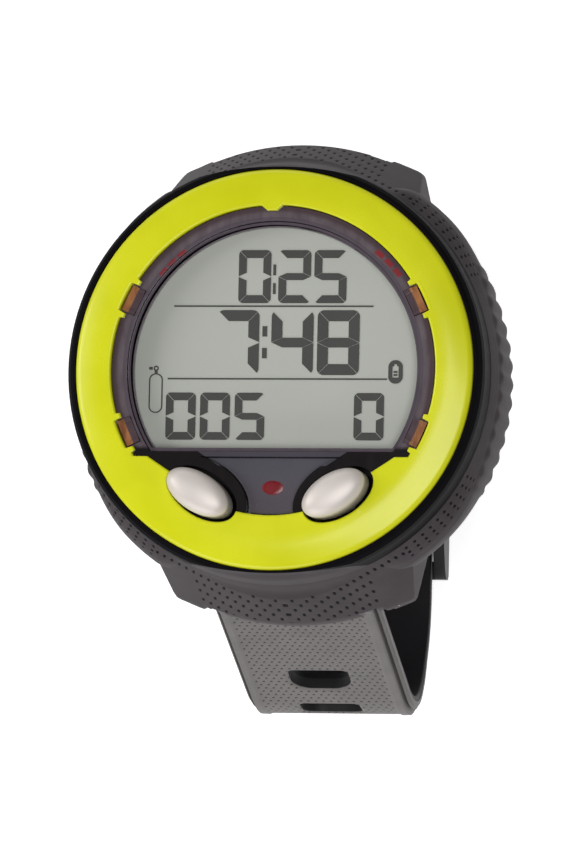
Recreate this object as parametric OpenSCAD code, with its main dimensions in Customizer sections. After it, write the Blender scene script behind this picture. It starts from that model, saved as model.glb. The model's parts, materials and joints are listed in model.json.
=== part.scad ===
// Wrist dive computer with its strap buckled in a loop.
// Frame: +Z is the way the display looks, +Y is the twelve o'clock side, +X is three o'clock.
// The origin is on the plane that the strap loop stands on, under the centre of the case.
// Heights named *_z are measured from the face plane, the rim of the coloured bezel.

/* [Case] */
// Radius of the rim of the coloured bezel
bezel_r = 35.8; // [35:0.1:36.6]
// Radial width of the coloured bezel, from its rim to its round opening
bezel_w = 6.6; // [6:0.1:6.9]
// Height of the bezel's crown above the face plane
bezel_crown = 1.4; // [1.2:0.1:1.8]
// Thickness of the bezel below the face plane
bezel_seat = 1.6; // [1.4:0.1:1.9]
// Radial width of the black lip outside the bezel
lip_w = 1.8; // [1.4:0.1:2.4]
// Height of the black lip ring
lip_h = 9.2; // [8.4:0.1:10]
// Depth of the case from the face plane to its back
case_depth = 31; // [30:0.2:33]
// Wall thickness of the module case
case_wall = 1.6; // [1.2:0.1:1.8]

/* [Boot] */
// How far the boot's sides stand outside the black lip
boot_proud = 1.4; // [1:0.1:2.4]
// Reach of the apron at six and twelve o'clock beyond the boot's sides
apron_out = 4; // [3.5:0.1:5]
// Thickness of the flange that holds the module from behind
boot_flange = 1.0; // [0.8:0.1:1.2]
// Radial width of that flange
flange_w = 2.2; // [1.7:0.1:2.7]
// Height of the grip ribs at three and nine o'clock
grip_h = 15; // [12:0.5:16]
// Number of grip ribs on each side
grip_count = 9; // [5:1:11]

/* [Display] */
// Radial width of the tinted ring between the window and the bezel
ring_w = 3.6; // [3.3:0.1:4.2]
// Thickness of the display lens
lens_t = 1.9; // [1.5:0.1:2.1]
// Thickness of the liquid crystal panel
lcd_t = 1.4; // [1.1:0.1:1.5]
// Width of one segment of the large digits
segment_w = 1.7; // [1.3:0.1:1.9]
// Thickness of the segment layer
segment_t = 0.1; // [0.06:0.02:0.14]

/* [Buttons] */
// Half length of the oval button cap
button_a = 6.5; // [6.2:0.1:6.7]
// Half width of the oval button cap
button_b = 3.6; // [3.4:0.1:3.8]
// Distance of the buttons' centres inside the bezel's opening
button_in = 3.8; // [3.5:0.1:4.2]
// Angle at the centre between each button and six o'clock
button_turn = 28.7; // [27.5:0.1:29.5]
// Distance from the window's straight edge down to the buttons' centres
button_drop = 8.3; // [8:0.1:8.9]
// Angle of each button's long axis
button_tilt = 32; // [28:1:34]
// Height of the button dome above the face plane
button_top = 4.6; // [4:0.1:5.2]
// Travel of the button
button_travel = 1.0; // [0.6:0.1:1.1]
// Radius of the button stem
stem_r = 1.1; // [0.9:0.05:1.3]

/* [Power] */
// Radius of the coin cell
battery_r = 12.25; // [11.5:0.05:12.5]
// Thickness of the coin cell
battery_t = 5; // [4.2:0.1:5.2]
// Width of the battery hatch's rim round the battery's bore
hatch_lap = 2.75; // [2.4:0.05:3.2]
// Turn that frees the battery hatch, in degrees
hatch_turn = 60; // [45:5:75]
// Distance of the case screws inside the case's bore
screw_inset = 3.9; // [3.6:0.1:4.2]
// Radius of the case screws' threads
screw_r = 1.0; // [0.8:0.05:1.1]

/* [Strap] */
// Width of the strap
strap_w = 30.4; // [29:0.2:31]
// Thickness of the strap
strap_t = 3.6; // [3.2:0.1:4]
// Thickness of the black lining inside the strap
lining_t = 1.0; // [0.7:0.1:1.2]
// Outer radius of the loop's bends
loop_r = 24; // [23:0.2:26]
// Length of the flat bottom of the loop, if both sides bent like the lower strap
loop_flat = 65; // [62:0.5:68]
// Distance of the upper strap's bend from the loop's centre; the upper strap comes down steeply
upper_bend = 20; // [19:0.5:21]
// How much narrower the strap is below than at the lugs
strap_taper = 2.0; // [1.6:0.1:2.2]
// Height of the face plane above the surface that the loop stands on
face_z = 98.8; // [97:0.1:102]
// Radius of the spring bars in the lugs
bar_r = 0.9; // [0.75:0.05:1.0]
// Distance of each spring bar inside the apron's edge
bar_in = 4.1; // [3.9:0.1:4.4]
// Length of each slot along the strap
slot_l = 8; // [7.8:0.1:8.6]
// Width of each slot across the strap
slot_w = 11.2; // [10.6:0.1:11.8]
// Distance between slots
slot_pitch = 14.3; // [13.9:0.1:14.7]
// Distance along the strap from the spring bar to the first slot
first_slot = 31; // [30:0.5:32]
// Number of slots
slot_count = 8; // [7:1:8]

/* [Buckle] */
// Thickness of the buckle frame's arms, sideways
frame_arm = 2.2; // [1.8:0.1:2.6]
// Length of the buckle frame along the strap
frame_l = 17; // [16:0.5:18]
// Width of the buckle tongue
tongue_w = 9.4; // [8:0.2:9.8]
// Thickness of the buckle tongue
tongue_t = 1.1; // [0.9:0.1:1.2]
// Radius of the buckle pin
pin_r = 0.8; // [0.7:0.05:0.9]
// Wall thickness of the strap keepers
keeper_wall = 1.7; // [1.4:0.1:1.7]
// Length of each keeper along the strap
keeper_l = 6.5; // [5:0.5:7]

/* [Clearances] */
// Radial gap of pieces that turn or slide in each other
running_gap = 0.05; // [0.03:0.01:0.08]
// Gap around pieces that are laid into a recess
fit_gap = 0.1; // [0.06:0.02:0.14]
// Gap between the two layers of strap
layer_gap = 0.5; // [0.45:0.05:0.6]
// Gap between the strap and the keepers or the buckle
strap_gap = 0.6; // [0.55:0.05:0.7]

/* [Hidden] */
$fn = 96;

// Plain numbers of this design
pierce = 1;                // how far a cutter runs past the face that it cuts
plate_t = 1.6;             // thickness of the upper housing's plate
collar_w = 2.6;            // radial width of the collar round the window
collar_top = 0.7;          // height of the collar above the face plane
pocket_gap = 0.4;          // gap round a button cap in its pocket
pocket_wall = 1.9;         // wall round a button pocket
pocket_floor_t = 3;        // thickness of the pocket's floor
board_t = 1.0;
cap_wall = 0.55;           // wall of the button cap's skirt
drawn_window_r = 25.6;     // window radius that the display's figures are drawn for
connector_w = 36;          // length of the striped connector under the display
cover_t = 2.1;             // thickness of the back cover's plate
cup_wall = 1.4;            // wall of the battery cup

// Radii of the case
lip_r = bezel_r + lip_w;
shell_r = lip_r - 2.7;                     // outside of the module case below its lip
cavity_r = shell_r - case_wall;
board_r = cavity_r - 0.7;
screw_ring_r = cavity_r - screw_inset;
boot_bore_r = shell_r + 1.5 * fit_gap;
boot_r = lip_r + boot_proud;
boot_hole_r = shell_r - flange_w;
apron_y = boot_r + apron_out;
bar_y = apron_y - bar_in;

// Openings of the face, each inside the next
scoop_r = 60;                              // plan radius of the thumb scoops in the lip
scoop_in = bezel_r + 0.45;                 // how near to the centre the scoops reach
opening_r = bezel_r - bezel_w;
window_r = opening_r - ring_w;
button_ring_r = opening_r - button_in;
button_x = button_ring_r * sin(button_turn);
button_y = button_ring_r * cos(button_turn);
window_flat = button_y - button_drop;      // centre to the window's straight edge
field_r = opening_r - 3.1;                 // outside of the centre field between the buttons
dot_y = 1.1 - button_y;                    // place of the small round light

// Heights from the face plane
seat_z = -bezel_seat;                      // underside of the bezel
plate_z = seat_z - plate_t;                // underside of the upper housing's plate
lip_z = -lip_h;                            // underside of the lip
back_z = -case_depth;
cover_z = back_z + boot_flange;            // outer face of the back cover's rim
inside_z = cover_z + cover_t;              // inner face of the back cover
lens_ledge_z = plate_z + 0.9;
lens_top_z = lens_ledge_z + 0.2 + lens_t;
lcd_top_z = plate_z - 0.1;
lcd_z = lcd_top_z - lcd_t;
guide_t = 1.0;
guide_z = lcd_z - guide_t - 0.1;
frame_plate_t = 0.9;
frame_z = guide_z - frame_plate_t;
pocket_floor_z = -6.0;
pocket_under_z = pocket_floor_z - pocket_floor_t;
board_top_z = pocket_under_z - 3;
board_z = board_top_z - board_t;
battery_z = inside_z + 0.4;

// Display outline
lens_r = window_r + 0.7;
lens_flat = window_flat + 0.7;
collar_r = lens_r + fit_gap + collar_w;
lcd_r = window_r + 1.3;
lcd_flat = window_flat + 1.1;
clip_angles = [25.6, -23.6, 154.4, 203.6];
clip_w = 4.8;
light_angles = [36, 41, 46, 134, 139, 144];
light_r = 0.8;
light_ring_r = lens_r + fit_gap + 1.4;

// Battery and hatch
battery_bore_r = battery_r + 0.3;
hatch_r = battery_bore_r + hatch_lap;
hatch_rim_t = 0.6;
hatch_wing_t = 0.9;
hatch_wing_r = hatch_r + 2;
hatch_wing_w = 7;
hatch_z = back_z + hatch_rim_t + hatch_wing_t;
oring_tube = 0.66;
oring_r = battery_bore_r + oring_tube + 0.05;
cup_r = battery_bore_r + cup_wall;
cup_roof_z = battery_z + battery_t + 1.0;
side_ring_r = (cup_r + cavity_r) / 2;      // circle of the pieces between the cup and the case
sensor_turn = 154;                         // place of the pressure sensor on it
sounder_turn = 26;                         // place of the sounder on it

// Strap loop. Both straps are worked out on the +Y side, and the lower one is mirrored over
bar_z = -27.2;                             // height of the spring bars
eye_r = 2.3;                               // radius of the strap's rolled end
outer_floor_z = -face_z + keeper_wall + strap_gap;    // outer face of the outer layer
inner_floor_z = outer_floor_z + strap_t + layer_gap;  // outer face of the inner layer
mid_r = loop_r - strap_t / 2;
outer_layer = [outer_floor_z, loop_flat / 2];         // outer face and bend centre of the lower strap
inner_layer = [inner_floor_z, upper_bend];            // the same of the upper strap
strap_low_w = strap_w - strap_taper;
tail_y = 24;                               // end of the tail past the centre
pocket_half = strap_w / 2 + 0.25;          // half width of the strap's pocket in the boot
apron_half = pocket_half + 2.65;           // half width of the apron between the lugs
pin_z = inner_floor_z + strap_t / 2;
pin_eye_r = strap_t / 2 - 0.05;
tongue_eye_r = 1.9;
leg_w = tongue_w - 3.4;                    // width of the tongue's leg through the slot
buckled_slot = 5;                          // which slot the tongue is through, from 0
pin_ahead = 0.8;                           // how far the pin stands past the middle of that slot
arm_gap = 0.3;
frame_half = strap_low_w / 2 + arm_gap + frame_arm;

// Centre of a bend, and the straight run that leads from the spring bar into it
function bend_z(layer) = layer[0] + loop_r;
function bend_reach(layer) = norm([layer[1] - bar_y, bend_z(layer) - bar_z]);
function run_angle(layer) =
    atan2(bend_z(layer) - bar_z, layer[1] - bar_y) + asin(mid_r / bend_reach(layer));
function run_length(layer) = sqrt(pow(bend_reach(layer), 2) - mid_r * mid_r);
// Place and heading of a point at distance s from the spring bar: [y, z, heading]
function strap_place(s, layer) =
    let(run = run_length(layer), a = run_angle(layer),
        bend = mid_r * (a + 180) * PI / 180, turned = (s - run) / mid_r * 180 / PI)
    s < run ? [bar_y + s * cos(a), bar_z + s * sin(a), a]
    : s < run + bend ? [layer[1] + mid_r * cos(a + 90 - turned), bend_z(layer)
                        + mid_r * sin(a + 90 - turned), a - turned]
    : [layer[1] - (s - run - bend), layer[0] + strap_t / 2, -180];

// Buckle pin, over the slot that the tongue is through
pin_y = -strap_place(first_slot + buckled_slot * slot_pitch, outer_layer)[0] - pin_ahead;

function ellipse_points(a, b) = [for (i = [0:71]) [a * cos(i * 5), b * sin(i * 5)]];

// ---------- shared shapes ----------

module at_face() { translate([0, 0, face_z]) children(); }

module slab(low, high) { translate([0, 0, low]) linear_extrude(high - low) children(); }

module ring_2d(outer, inner) { difference() { circle(outer); circle(inner); } }

// Rounded rectangle, centred
module rounded_rect(w, h, r) {
    square([w - 2 * r, h], center = true);
    square([w, h - 2 * r], center = true);
    for (x = [-1, 1], y = [-1, 1])
        translate([x * (w / 2 - r), y * (h / 2 - r)]) circle(r, $fn = 32);
}

// Torus
module oring(r, tube) { rotate_extrude() translate([r, 0]) circle(tube, $fn = 24); }

// Children at each button; the right one is turned, not mirrored
module at_button(side) {
    translate([side * button_x, -button_y, 0]) rotate(side * button_tilt) children();
}

module oval(grow) { polygon(ellipse_points(button_a + grow, button_b + grow)); }

// Display outline: a circle cut straight across below
module window_2d(r, flat) {
    intersection() {
        circle(r);
        translate([-r - pierce, -flat]) square([2 * r + 2 * pierce, flat + r + pierce]);
    }
}

// The whole opening in the bezel
module face_opening(grow) {
    window_2d(opening_r + grow, lens_flat + 1.0 + grow);
    for (side = [-1, 1]) {
        at_button(side) oval(pocket_gap + 0.1 + grow);
        mirror([side < 0 ? 1 : 0, 0])
            polygon([[0, -lens_flat], [opening_r - 4.8 + grow, -lens_flat],
                     [opening_r - 4.8 + grow, -lens_flat - 0.9 - grow],
                     [button_x + 5.6 + grow, 3.7 - button_y - grow], [button_x, -button_y],
                     [0, -button_y]]);
    }
    intersection() {
        circle(field_r + grow);
        translate([-button_x, -opening_r]) square([2 * button_x, opening_r - lens_flat]);
    }
}

// ---------- boot and case ----------

module boot_outline() {
    // straight-edged plan of the apron and lugs at six and twelve o'clock
    drop = 1.9;
    edge = [for (i = [-6:6]) [i * apron_half / 6, apron_y - drop * pow(i / 6, 2)]];
    side = [[apron_half + 0.3, apron_y - drop - 0.4], [apron_half + 3.8, apron_y - 3.7],
            [apron_half + 5.2, apron_y - 8.4],
            [apron_half + 6.4, apron_y - 13]];
    upper = concat([for (i = [3:-1:0]) [-side[i][0], side[i][1]]], edge, side);
    polygon(concat(upper, [for (i = [len(upper) - 1:-1:0]) [upper[i][0], -upper[i][1]]]));
}

// Plan of the scoops at six and twelve o'clock, where the boot's rubber stands in for the lip
module scoop_plan(gap) {
    for (side = [0, 180]) rotate(side) difference() {
        translate([-17, -lip_r - 6]) square([34, 12]);
        translate([0, scoop_r - scoop_in]) circle(scoop_r + gap, $fn = 240);
    }
}

module boot_solid() {
    // rubber in the scoops
    intersection() {
        slab(lip_z - 0.5, -1.2) scoop_plan(fit_gap / 2);
        rotate_extrude() polygon([[30, lip_z - 1], [lip_r + 0.1, lip_z - 1], [lip_r + 0.1, lip_z],
            [lip_r - 0.3, lip_z / 2], [scoop_in + 0.5, -2.2], [scoop_in + 0.25, -1.2], [30, -1.2]]);
    }
    // round body
    rotate_extrude() polygon([[0, back_z], [boot_r - 2.6, back_z], [boot_r - 1.0, back_z + 1.6],
        [boot_r - 0.3, back_z + 5], [boot_r, back_z + 9], [boot_r, lip_z - 8],
        [boot_r - 0.5, lip_z - 3], [lip_r + 0.1, lip_z], [0, lip_z]]);
    // flared apron and lugs
    intersection() {
        slab(back_z, lip_z) boot_outline();
        rotate_extrude() polygon([[0, back_z], [apron_y + 3.2, back_z], [apron_y + 3.2, lip_z - 18],
            [lip_r + 0.1, lip_z], [0, lip_z]]);
    }
    // grip ribs
    for (side = [0, 180], i = [0:grip_count - 1])
        rotate(side + (i - (grip_count - 1) / 2) * 5.4)
            translate([boot_r - 0.9, 0, lip_z - 3.4 - grip_h]) cylinder(r = 1.5, h = grip_h, $fn = 24);
}

module wrist_boot() {
    wall_y = bar_y + eye_r + 0.4;
    color("dimgray") at_face() difference() {
        boot_solid();
        slab(cover_z, lip_z + pierce) circle(boot_bore_r);
        slab(back_z - pierce, cover_z + pierce) circle(boot_hole_r);
        for (side = [-1, 1]) mirror([0, side < 0 ? 1 : 0, 0]) {
            translate([-pocket_half, bar_y - eye_r - 0.4, back_z - pierce])
                cube([2 * pocket_half, wall_y - bar_y + eye_r + 0.4, bar_z + eye_r + 0.4 - back_z + pierce]);
            translate([-pocket_half, bar_y, back_z - pierce])
                cube([2 * pocket_half, 10, pierce - back_z + bar_z - 1.2]);
            translate([0, bar_y, bar_z]) rotate([0, 90, 0])
                cylinder(r = bar_r + 0.02, h = 2 * (pocket_half + 4), center = true, $fn = 32);
        }
    }
}

module module_case() {
    color("#17161a") at_face() difference() {
        union() {
            rotate_extrude() polygon([[cavity_r, inside_z], [shell_r, inside_z], [shell_r, lip_z],
                [lip_r, lip_z], [lip_r, -2.4], [lip_r - 0.25, -1.2], [lip_r - 0.8, -0.4],
                [lip_r - 1.3, -0.15], [bezel_r + fit_gap, -0.15], [bezel_r + fit_gap, plate_z],
                [cavity_r, plate_z]]);
            // ledge under the circuit board
            slab(board_z - 1.2, board_z) ring_2d(cavity_r + 0.4, cavity_r - 1.6);
            // screw bosses
            for (a = [45:90:315]) rotate(a) {
                translate([screw_ring_r, 0, inside_z]) cylinder(r = 2.3, h = 9, $fn = 32);
                translate([screw_ring_r, -1.2, inside_z])
                    cube([cavity_r + 0.4 - screw_ring_r, 2.4, 9]);
            }
        }
        slab(lip_z - pierce, pierce) scoop_plan(0);
        for (a = [45:90:315]) rotate(a)
            translate([screw_ring_r, 0, inside_z - pierce])
                cylinder(r = screw_r + running_gap, h = 8 + pierce, $fn = 32);
    }
}

module bezel() {
    color("#d2d414") at_face() difference() {
        rotate_extrude() polygon([[0, seat_z], [bezel_r, seat_z], [bezel_r, -0.35],
            [bezel_r - 0.12, -0.1], [bezel_r - 0.45, 0.12], [bezel_r - 2.2, bezel_crown * 0.62],
            [bezel_r - 3.4, bezel_crown * 0.88], [bezel_r - 4.6, bezel_crown], [0, bezel_crown]]);
        slab(seat_z - pierce, bezel_crown + pierce) face_opening(0);
        for (a = clip_angles) rotate(a)
            translate([opening_r - 1, -clip_w / 2 - 0.3, seat_z - pierce])
                cube([1.35, clip_w + 0.6, 10]);
    }
}

module upper_housing() {
    color("#4b4146", 0.75) at_face() difference() {
        union() {
            slab(plate_z, seat_z) circle(bezel_r);
            // collar, bar and crescent walls inside the bezel's opening
            slab(seat_z - 0.1, collar_top) intersection() {
                face_opening(-0.15);
                union() {
                    difference() {
                        window_2d(collar_r, lens_flat + 1.0);
                        window_2d(lens_r - 0.2, lens_flat - 0.2);
                    }
                    for (side = [-1, 1]) at_button(side) oval(2.3);
                    for (side = [-1, 1]) mirror([side < 0 ? 1 : 0, 0])
                        polygon([[opening_r - 4.2, -lens_flat], [button_x + 2.8, -lens_flat],
                                 [button_x + 4.8, 3.3 - button_y], [button_x + 6.8, 3.3 - button_y]]);
                }
            }
            // button pockets and locating skirt
            slab(pocket_under_z, plate_z) {
                for (side = [-1, 1]) at_button(side) oval(pocket_gap + pocket_wall);
                ring_2d(cavity_r - fit_gap, cavity_r - fit_gap - 1.5);
            }
        }
        // window and the seat of the lens
        slab(plate_z - pierce, 5) window_2d(window_r, window_flat);
        slab(lens_ledge_z, 5) window_2d(lens_r + fit_gap, lens_flat + fit_gap);
        for (side = [-1, 1]) at_button(side) {
            slab(pocket_floor_z, 5) oval(pocket_gap);
            slab(pocket_under_z - pierce, 5) circle(stem_r + running_gap, $fn = 48);
            slab(pocket_floor_z - 1.35, 5) circle(stem_r + 1.3, $fn = 48);
        }
        for (a = clip_angles) rotate(a)
            translate([lens_r + 0.5, -clip_w / 2 - fit_gap, seat_z]) cube([5, clip_w + 2 * fit_gap, 5]);
    }
}

module bezel_clips() {
    color("#a86c38") at_face() for (a = clip_angles) rotate(a) {
        translate([lens_r + 0.6, -clip_w / 2, seat_z])
            cube([opening_r + 0.2 - lens_r - 0.6, clip_w, collar_top - seat_z]);
        for (side = [-1, 1])
            translate([lens_r + 0.6, side * (clip_w / 2 - 0.35) - 0.35, seat_z])
                cube([1.6, 0.7, collar_top - seat_z + 0.35]);
    }
}

module display_lens() {
    color("white", 0.25) at_face() slab(lens_ledge_z + 0.2, lens_top_z) window_2d(lens_r, lens_flat);
}

module lens_gasket() {
    color("#202020") at_face() slab(lens_ledge_z, lens_ledge_z + 0.2) difference() {
        window_2d(lens_r, lens_flat);
        window_2d(window_r + 0.05, window_flat + 0.05);
    }
}

// ---------- display ----------

module lcd_panel() {
    color("#b2b5aa") at_face() slab(lcd_z, lcd_top_z - segment_t) window_2d(lcd_r, lcd_flat);
}

// Which of the segments top, upper right, lower right, bottom, lower left, upper left, middle are on
digit_map = ["1111110", "0110000", "1101101", "1111001", "0110011", "1011011", "1011111",
             "1110000", "1111111", "1111011"];

// A seven-segment digit of width w and height h, centred: mitred segments inside rounded corners
module digit(value, w, h, line) {
    gap = 0.07;
    a = w / 2;
    b = h / 2;
    mid = 0.44 * line;
    flat = [[-a + gap, b], [a - gap, b], [a - line - gap, b - line], [line + gap - a, b - line]];
    side = [[a, b - gap], [a, gap], [a - line, mid + gap], [a - line, b - line - gap]];
    turns = [[1, 1], [1, 1], [1, -1], [1, -1], [-1, -1], [-1, 1]];
    intersection() {
        rounded_rect(w, h, 0.62 * line);
        union() {
            for (i = [0:5]) if (digit_map[value][i] == "1")
                polygon([for (p = i % 3 == 0 ? flat : side) [p[0] * turns[i][0], p[1] * turns[i][1]]]);
            if (digit_map[value][6] == "1")
                polygon([[gap - a, 0], [line - a, mid], [a - line, mid], [a - gap, 0], [a - line, -mid],
                         [line - a, -mid]]);
        }
    }
}

module digit_row(values, centres, y, w, h, line) {
    for (i = [0:len(values) - 1]) translate([centres[i], y]) digit(values[i], w, h, line);
}

module lcd_segments() {
    color("#373836") at_face() slab(lcd_top_z - segment_t, lcd_top_z) scale(window_r / drawn_window_r) {
        // surface time, dive time, and the smaller figures of the lower row
        digit_row([0, 2, 5], [-4.3, 2.9, 9.35], 16.9, 5.85, 9.5, segment_w * 0.84);
        digit_row([7, 4, 8], [-7.1, 2.7, 11.0], 5.1, 7.6, 11.6, segment_w * 1.16);
        digit_row([0, 0, 5, 0], [-17.2, -11.0, -4.75, 16.75], -8.1, 5.4, 8.45, segment_w * 0.82);
        for (y = [14.75, 18.1]) translate([-0.75, y]) square([0.5, 1.95], center = true);
        for (y = [3.2, 7.1]) translate([-2.3, y]) square([0.85, 1.85], center = true);
        // dividing lines
        translate([-0.8, 11.6]) square([36, 0.28], center = true);
        translate([0.1, -1.4]) square([39.6, 0.28], center = true);
        // cylinder symbol
        translate([-21.8, -4]) {
            difference() { rounded_rect(2.5, 7.1, 1.2); rounded_rect(2.05, 6.65, 0.98); }
            translate([0, 3.8]) square([0.55, 0.6], center = true);
            translate([0, 4.45]) ring_2d(0.48, 0.22, $fn = 32);
            translate([-0.95, 4.45]) square([0.65, 0.5], center = true);
        }
        // battery symbol, light on a dark oval
        translate([21.4, -0.1]) difference() {
            rounded_rect(2.6, 4.2, 1.25);
            difference() {
                union() {
                    square([1.1, 2], center = true);
                    translate([0, 1.15]) square([0.5, 0.4], center = true);
                }
                for (y = [-0.55, 0]) translate([0, y]) square([0.7, 0.35], center = true);
            }
        }
    }
}

module display_frame() {
    color("#303034") at_face() difference() {
        union() {
            slab(frame_z, guide_z) window_2d(cavity_r - 2.2, lcd_flat + 0.9);
            slab(guide_z, plate_z) difference() {
                window_2d(cavity_r - 2.2, lcd_flat + 0.9);
                window_2d(lcd_r + fit_gap, lcd_flat + fit_gap);
            }
            for (a = [0, 62, 118, 180]) rotate(a)
                translate([cavity_r - 3.6, 0, board_top_z])
                    cylinder(r = 1.2, h = frame_z - board_top_z, $fn = 24);
        }
        for (a = light_angles) rotate(a)
            translate([light_ring_r, 0, frame_z - pierce]) cylinder(r = light_r + 0.15, h = 10, $fn = 24);
        translate([-connector_w / 2 - 0.2, -lcd_flat + 0.6, frame_z - pierce])
            cube([connector_w + 0.4, 2.4, 10]);
        for (side = [-1, 1]) at_button(side)
            slab(frame_z - pierce, plate_z + pierce) oval(pocket_gap + pocket_wall + fit_gap);
    }
}

module light_guide() {
    color("#dfe8e4") at_face() slab(guide_z, guide_z + guide_t) window_2d(lcd_r - 0.3, lcd_flat - 3.3);
}

module connector_strip() {
    color("#c8b8b0") at_face()
        translate([-connector_w / 2, -lcd_flat + 0.8, board_top_z])
            cube([connector_w, 2.0, lcd_z - board_top_z]);
}

module lower_trim_panel() {
    color("#45454f") at_face() slab(seat_z, seat_z + 1.1) difference() {
        intersection() {
            circle(field_r - 0.3);
            translate([-button_x, -opening_r]) square([2 * button_x, opening_r - lens_flat - 1.2]);
        }
        for (side = [-1, 1]) at_button(side) oval(2.5);
        translate([0, dot_y]) circle(1.1, $fn = 32);
    }
}

module status_lights() {
    color("#8e1f26") at_face() {
        for (a = light_angles) rotate(a)
            translate([light_ring_r, 0, board_top_z])
                cylinder(r = light_r, h = plate_z - board_top_z, $fn = 24);
        translate([0, dot_y, seat_z]) cylinder(r = 1.0, h = 1.25, $fn = 32);
    }
}

// ---------- electronics ----------

module circuit_board() {
    color("#1e5b3a") at_face() difference() {
        slab(board_z, board_top_z) circle(board_r);
        for (a = [45:90:315]) rotate(a)
            translate([screw_ring_r, 0, board_z - pierce]) cylinder(r = 1.3, h = 5, $fn = 24);
    }
}

module board_chips() {
    color("#222226") at_face() {
        translate([-5, -5, board_z - 1.1]) cube([10, 10, 1.1]);
        for (x = [-13, 9], y = [-8, 4]) translate([x, y, board_z - 0.9]) cube([4, 3, 0.9]);
        for (i = [0:3]) translate([-8 + i * 4.6, 14, board_z - 0.7]) cube([2, 1.2, 0.7]);
        translate([8, 8, board_top_z]) cube([6, 6, 1.0]);
        translate([-14, 8, board_top_z]) cube([5, 4, 0.9]);
    }
}

module button_switches() {
    color("#b9b9bd") at_face() for (side = [-1, 1])
        translate([side * button_x, -button_y, board_top_z]) {
            translate([-1.9, -1.9, 0]) cube([3.8, 3.8, 0.45]);
            cylinder(r = 1.2, h = 0.65, $fn = 32);
        }
}

module antenna() {
    color("#d8d2c4") at_face() translate([-6.5, board_r - 8.6, board_top_z]) cube([13, 3, 1.6]);
}

sensor_place = [side_ring_r * cos(sensor_turn), side_ring_r * sin(sensor_turn)];
module pressure_sensor() {
    color("silver") at_face() translate([sensor_place[0], sensor_place[1], 0]) difference() {
        union() {
            slab(board_z - 6, board_z) circle(4.6, $fn = 64);
            slab(inside_z, board_z - 6) circle(2.6, $fn = 64);
        }
        slab(inside_z - pierce, board_z - 4) circle(1.2, $fn = 32);
    }
}

module sensor_oring() {
    color("#1c1c1c") at_face() translate([sensor_place[0], sensor_place[1], inside_z + 0.72])
        oring(3.35, 0.7);
}

module sounder() {
    color("#caa24a") at_face()
    translate([side_ring_r * cos(sounder_turn), side_ring_r * sin(sounder_turn), 0]) {
        slab(inside_z, inside_z + 0.3) circle(7.2, $fn = 64);
        slab(inside_z + 0.3, inside_z + 0.6) circle(4.6, $fn = 64);
    }
}

contact_places = [[-5, -side_ring_r], [5, -side_ring_r]];
module wet_contacts() {
    color("#c9c4b6") at_face() for (p = contact_places) translate([p[0], p[1], 0]) {
        slab(back_z, inside_z) circle(1.5, $fn = 48);
        slab(inside_z, board_z) circle(1.0, $fn = 48);
    }
}

module battery() {
    color("#b8bcc0") at_face() {
        slab(battery_z + 0.4, battery_z + battery_t) circle(battery_r);
        slab(battery_z, battery_z + 0.4) circle(battery_r - 1.6);
    }
}

module battery_contacts() {
    color("#c7a45a") at_face() {
        // leaf over the cell, and the strip beside its lower face
        translate([-6, -2, cup_roof_z - 0.3]) cube([12, 4, 0.3]);
        translate([-1.2, -1.2, battery_z + battery_t])
            cube([2.4, 2.4, cup_roof_z - 0.3 - battery_z - battery_t]);
        translate([battery_r, -1, battery_z + 0.8]) cube([0.2, 2, 3.6]);
    }
}

module back_cover() {
    color("#1d1c20") at_face() difference() {
        union() {
            slab(cover_z, inside_z) circle(shell_r);
            slab(back_z, cover_z) circle(boot_hole_r - 2 * fit_gap);
            slab(inside_z, cup_roof_z + 1.0) circle(cup_r);
            translate([sensor_place[0], sensor_place[1], 0])
                slab(inside_z, inside_z + 1.4) circle(5.0, $fn = 64);
        }
        // battery bore, seal rebate, bayonet recess, rim and the wings' way in
        slab(back_z - pierce, cup_roof_z) circle(battery_bore_r);
        slab(hatch_z, hatch_z + 1.45) circle(oring_r + oring_tube + 0.06);
        slab(hatch_z - hatch_wing_t - 0.06, hatch_z) circle(hatch_wing_r + fit_gap);
        slab(back_z - pierce, hatch_z) circle(hatch_r + fit_gap);
        rotate(hatch_turn) slab(back_z - pierce, hatch_z) intersection() {
            circle(hatch_wing_r + fit_gap / 2);
            square([60, hatch_wing_w + 1], center = true);
        }
        translate([sensor_place[0], sensor_place[1], 0]) {
            slab(inside_z, inside_z + 5) circle(4.1, $fn = 64);
            for (a = [90, 210, 330]) rotate(a)
                translate([0.7, 0, back_z - pierce]) cylinder(r = 0.45, h = 5, $fn = 24);
        }
        for (p = contact_places) translate([p[0], p[1], back_z - pierce])
            cylinder(r = 1.52, h = 6, $fn = 48);
        for (a = [45:90:315]) rotate(a) translate([screw_ring_r, 0, back_z - pierce]) {
            cylinder(r = screw_r + running_gap, h = 6, $fn = 32);
            cylinder(r = 2.0, h = pierce + 1.5, $fn = 32);
        }
    }
}

module case_screws() {
    color("silver") at_face() for (a = [45:90:315]) rotate(a)
        translate([screw_ring_r, 0, back_z + 0.2]) difference() {
            union() {
                cylinder(r = 1.9, h = 1.3, $fn = 32);
                cylinder(r = screw_r, h = 9.4, $fn = 32);
            }
            for (turn = [0, 90]) rotate(turn)
                translate([-1.2, -0.2, -pierce]) cube([2.4, 0.4, pierce + 0.6]);
        }
}

module hatch_oring() {
    color("#7a1f1c") at_face() translate([0, 0, hatch_z + oring_tube + 0.06]) oring(oring_r, oring_tube);
}

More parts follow.
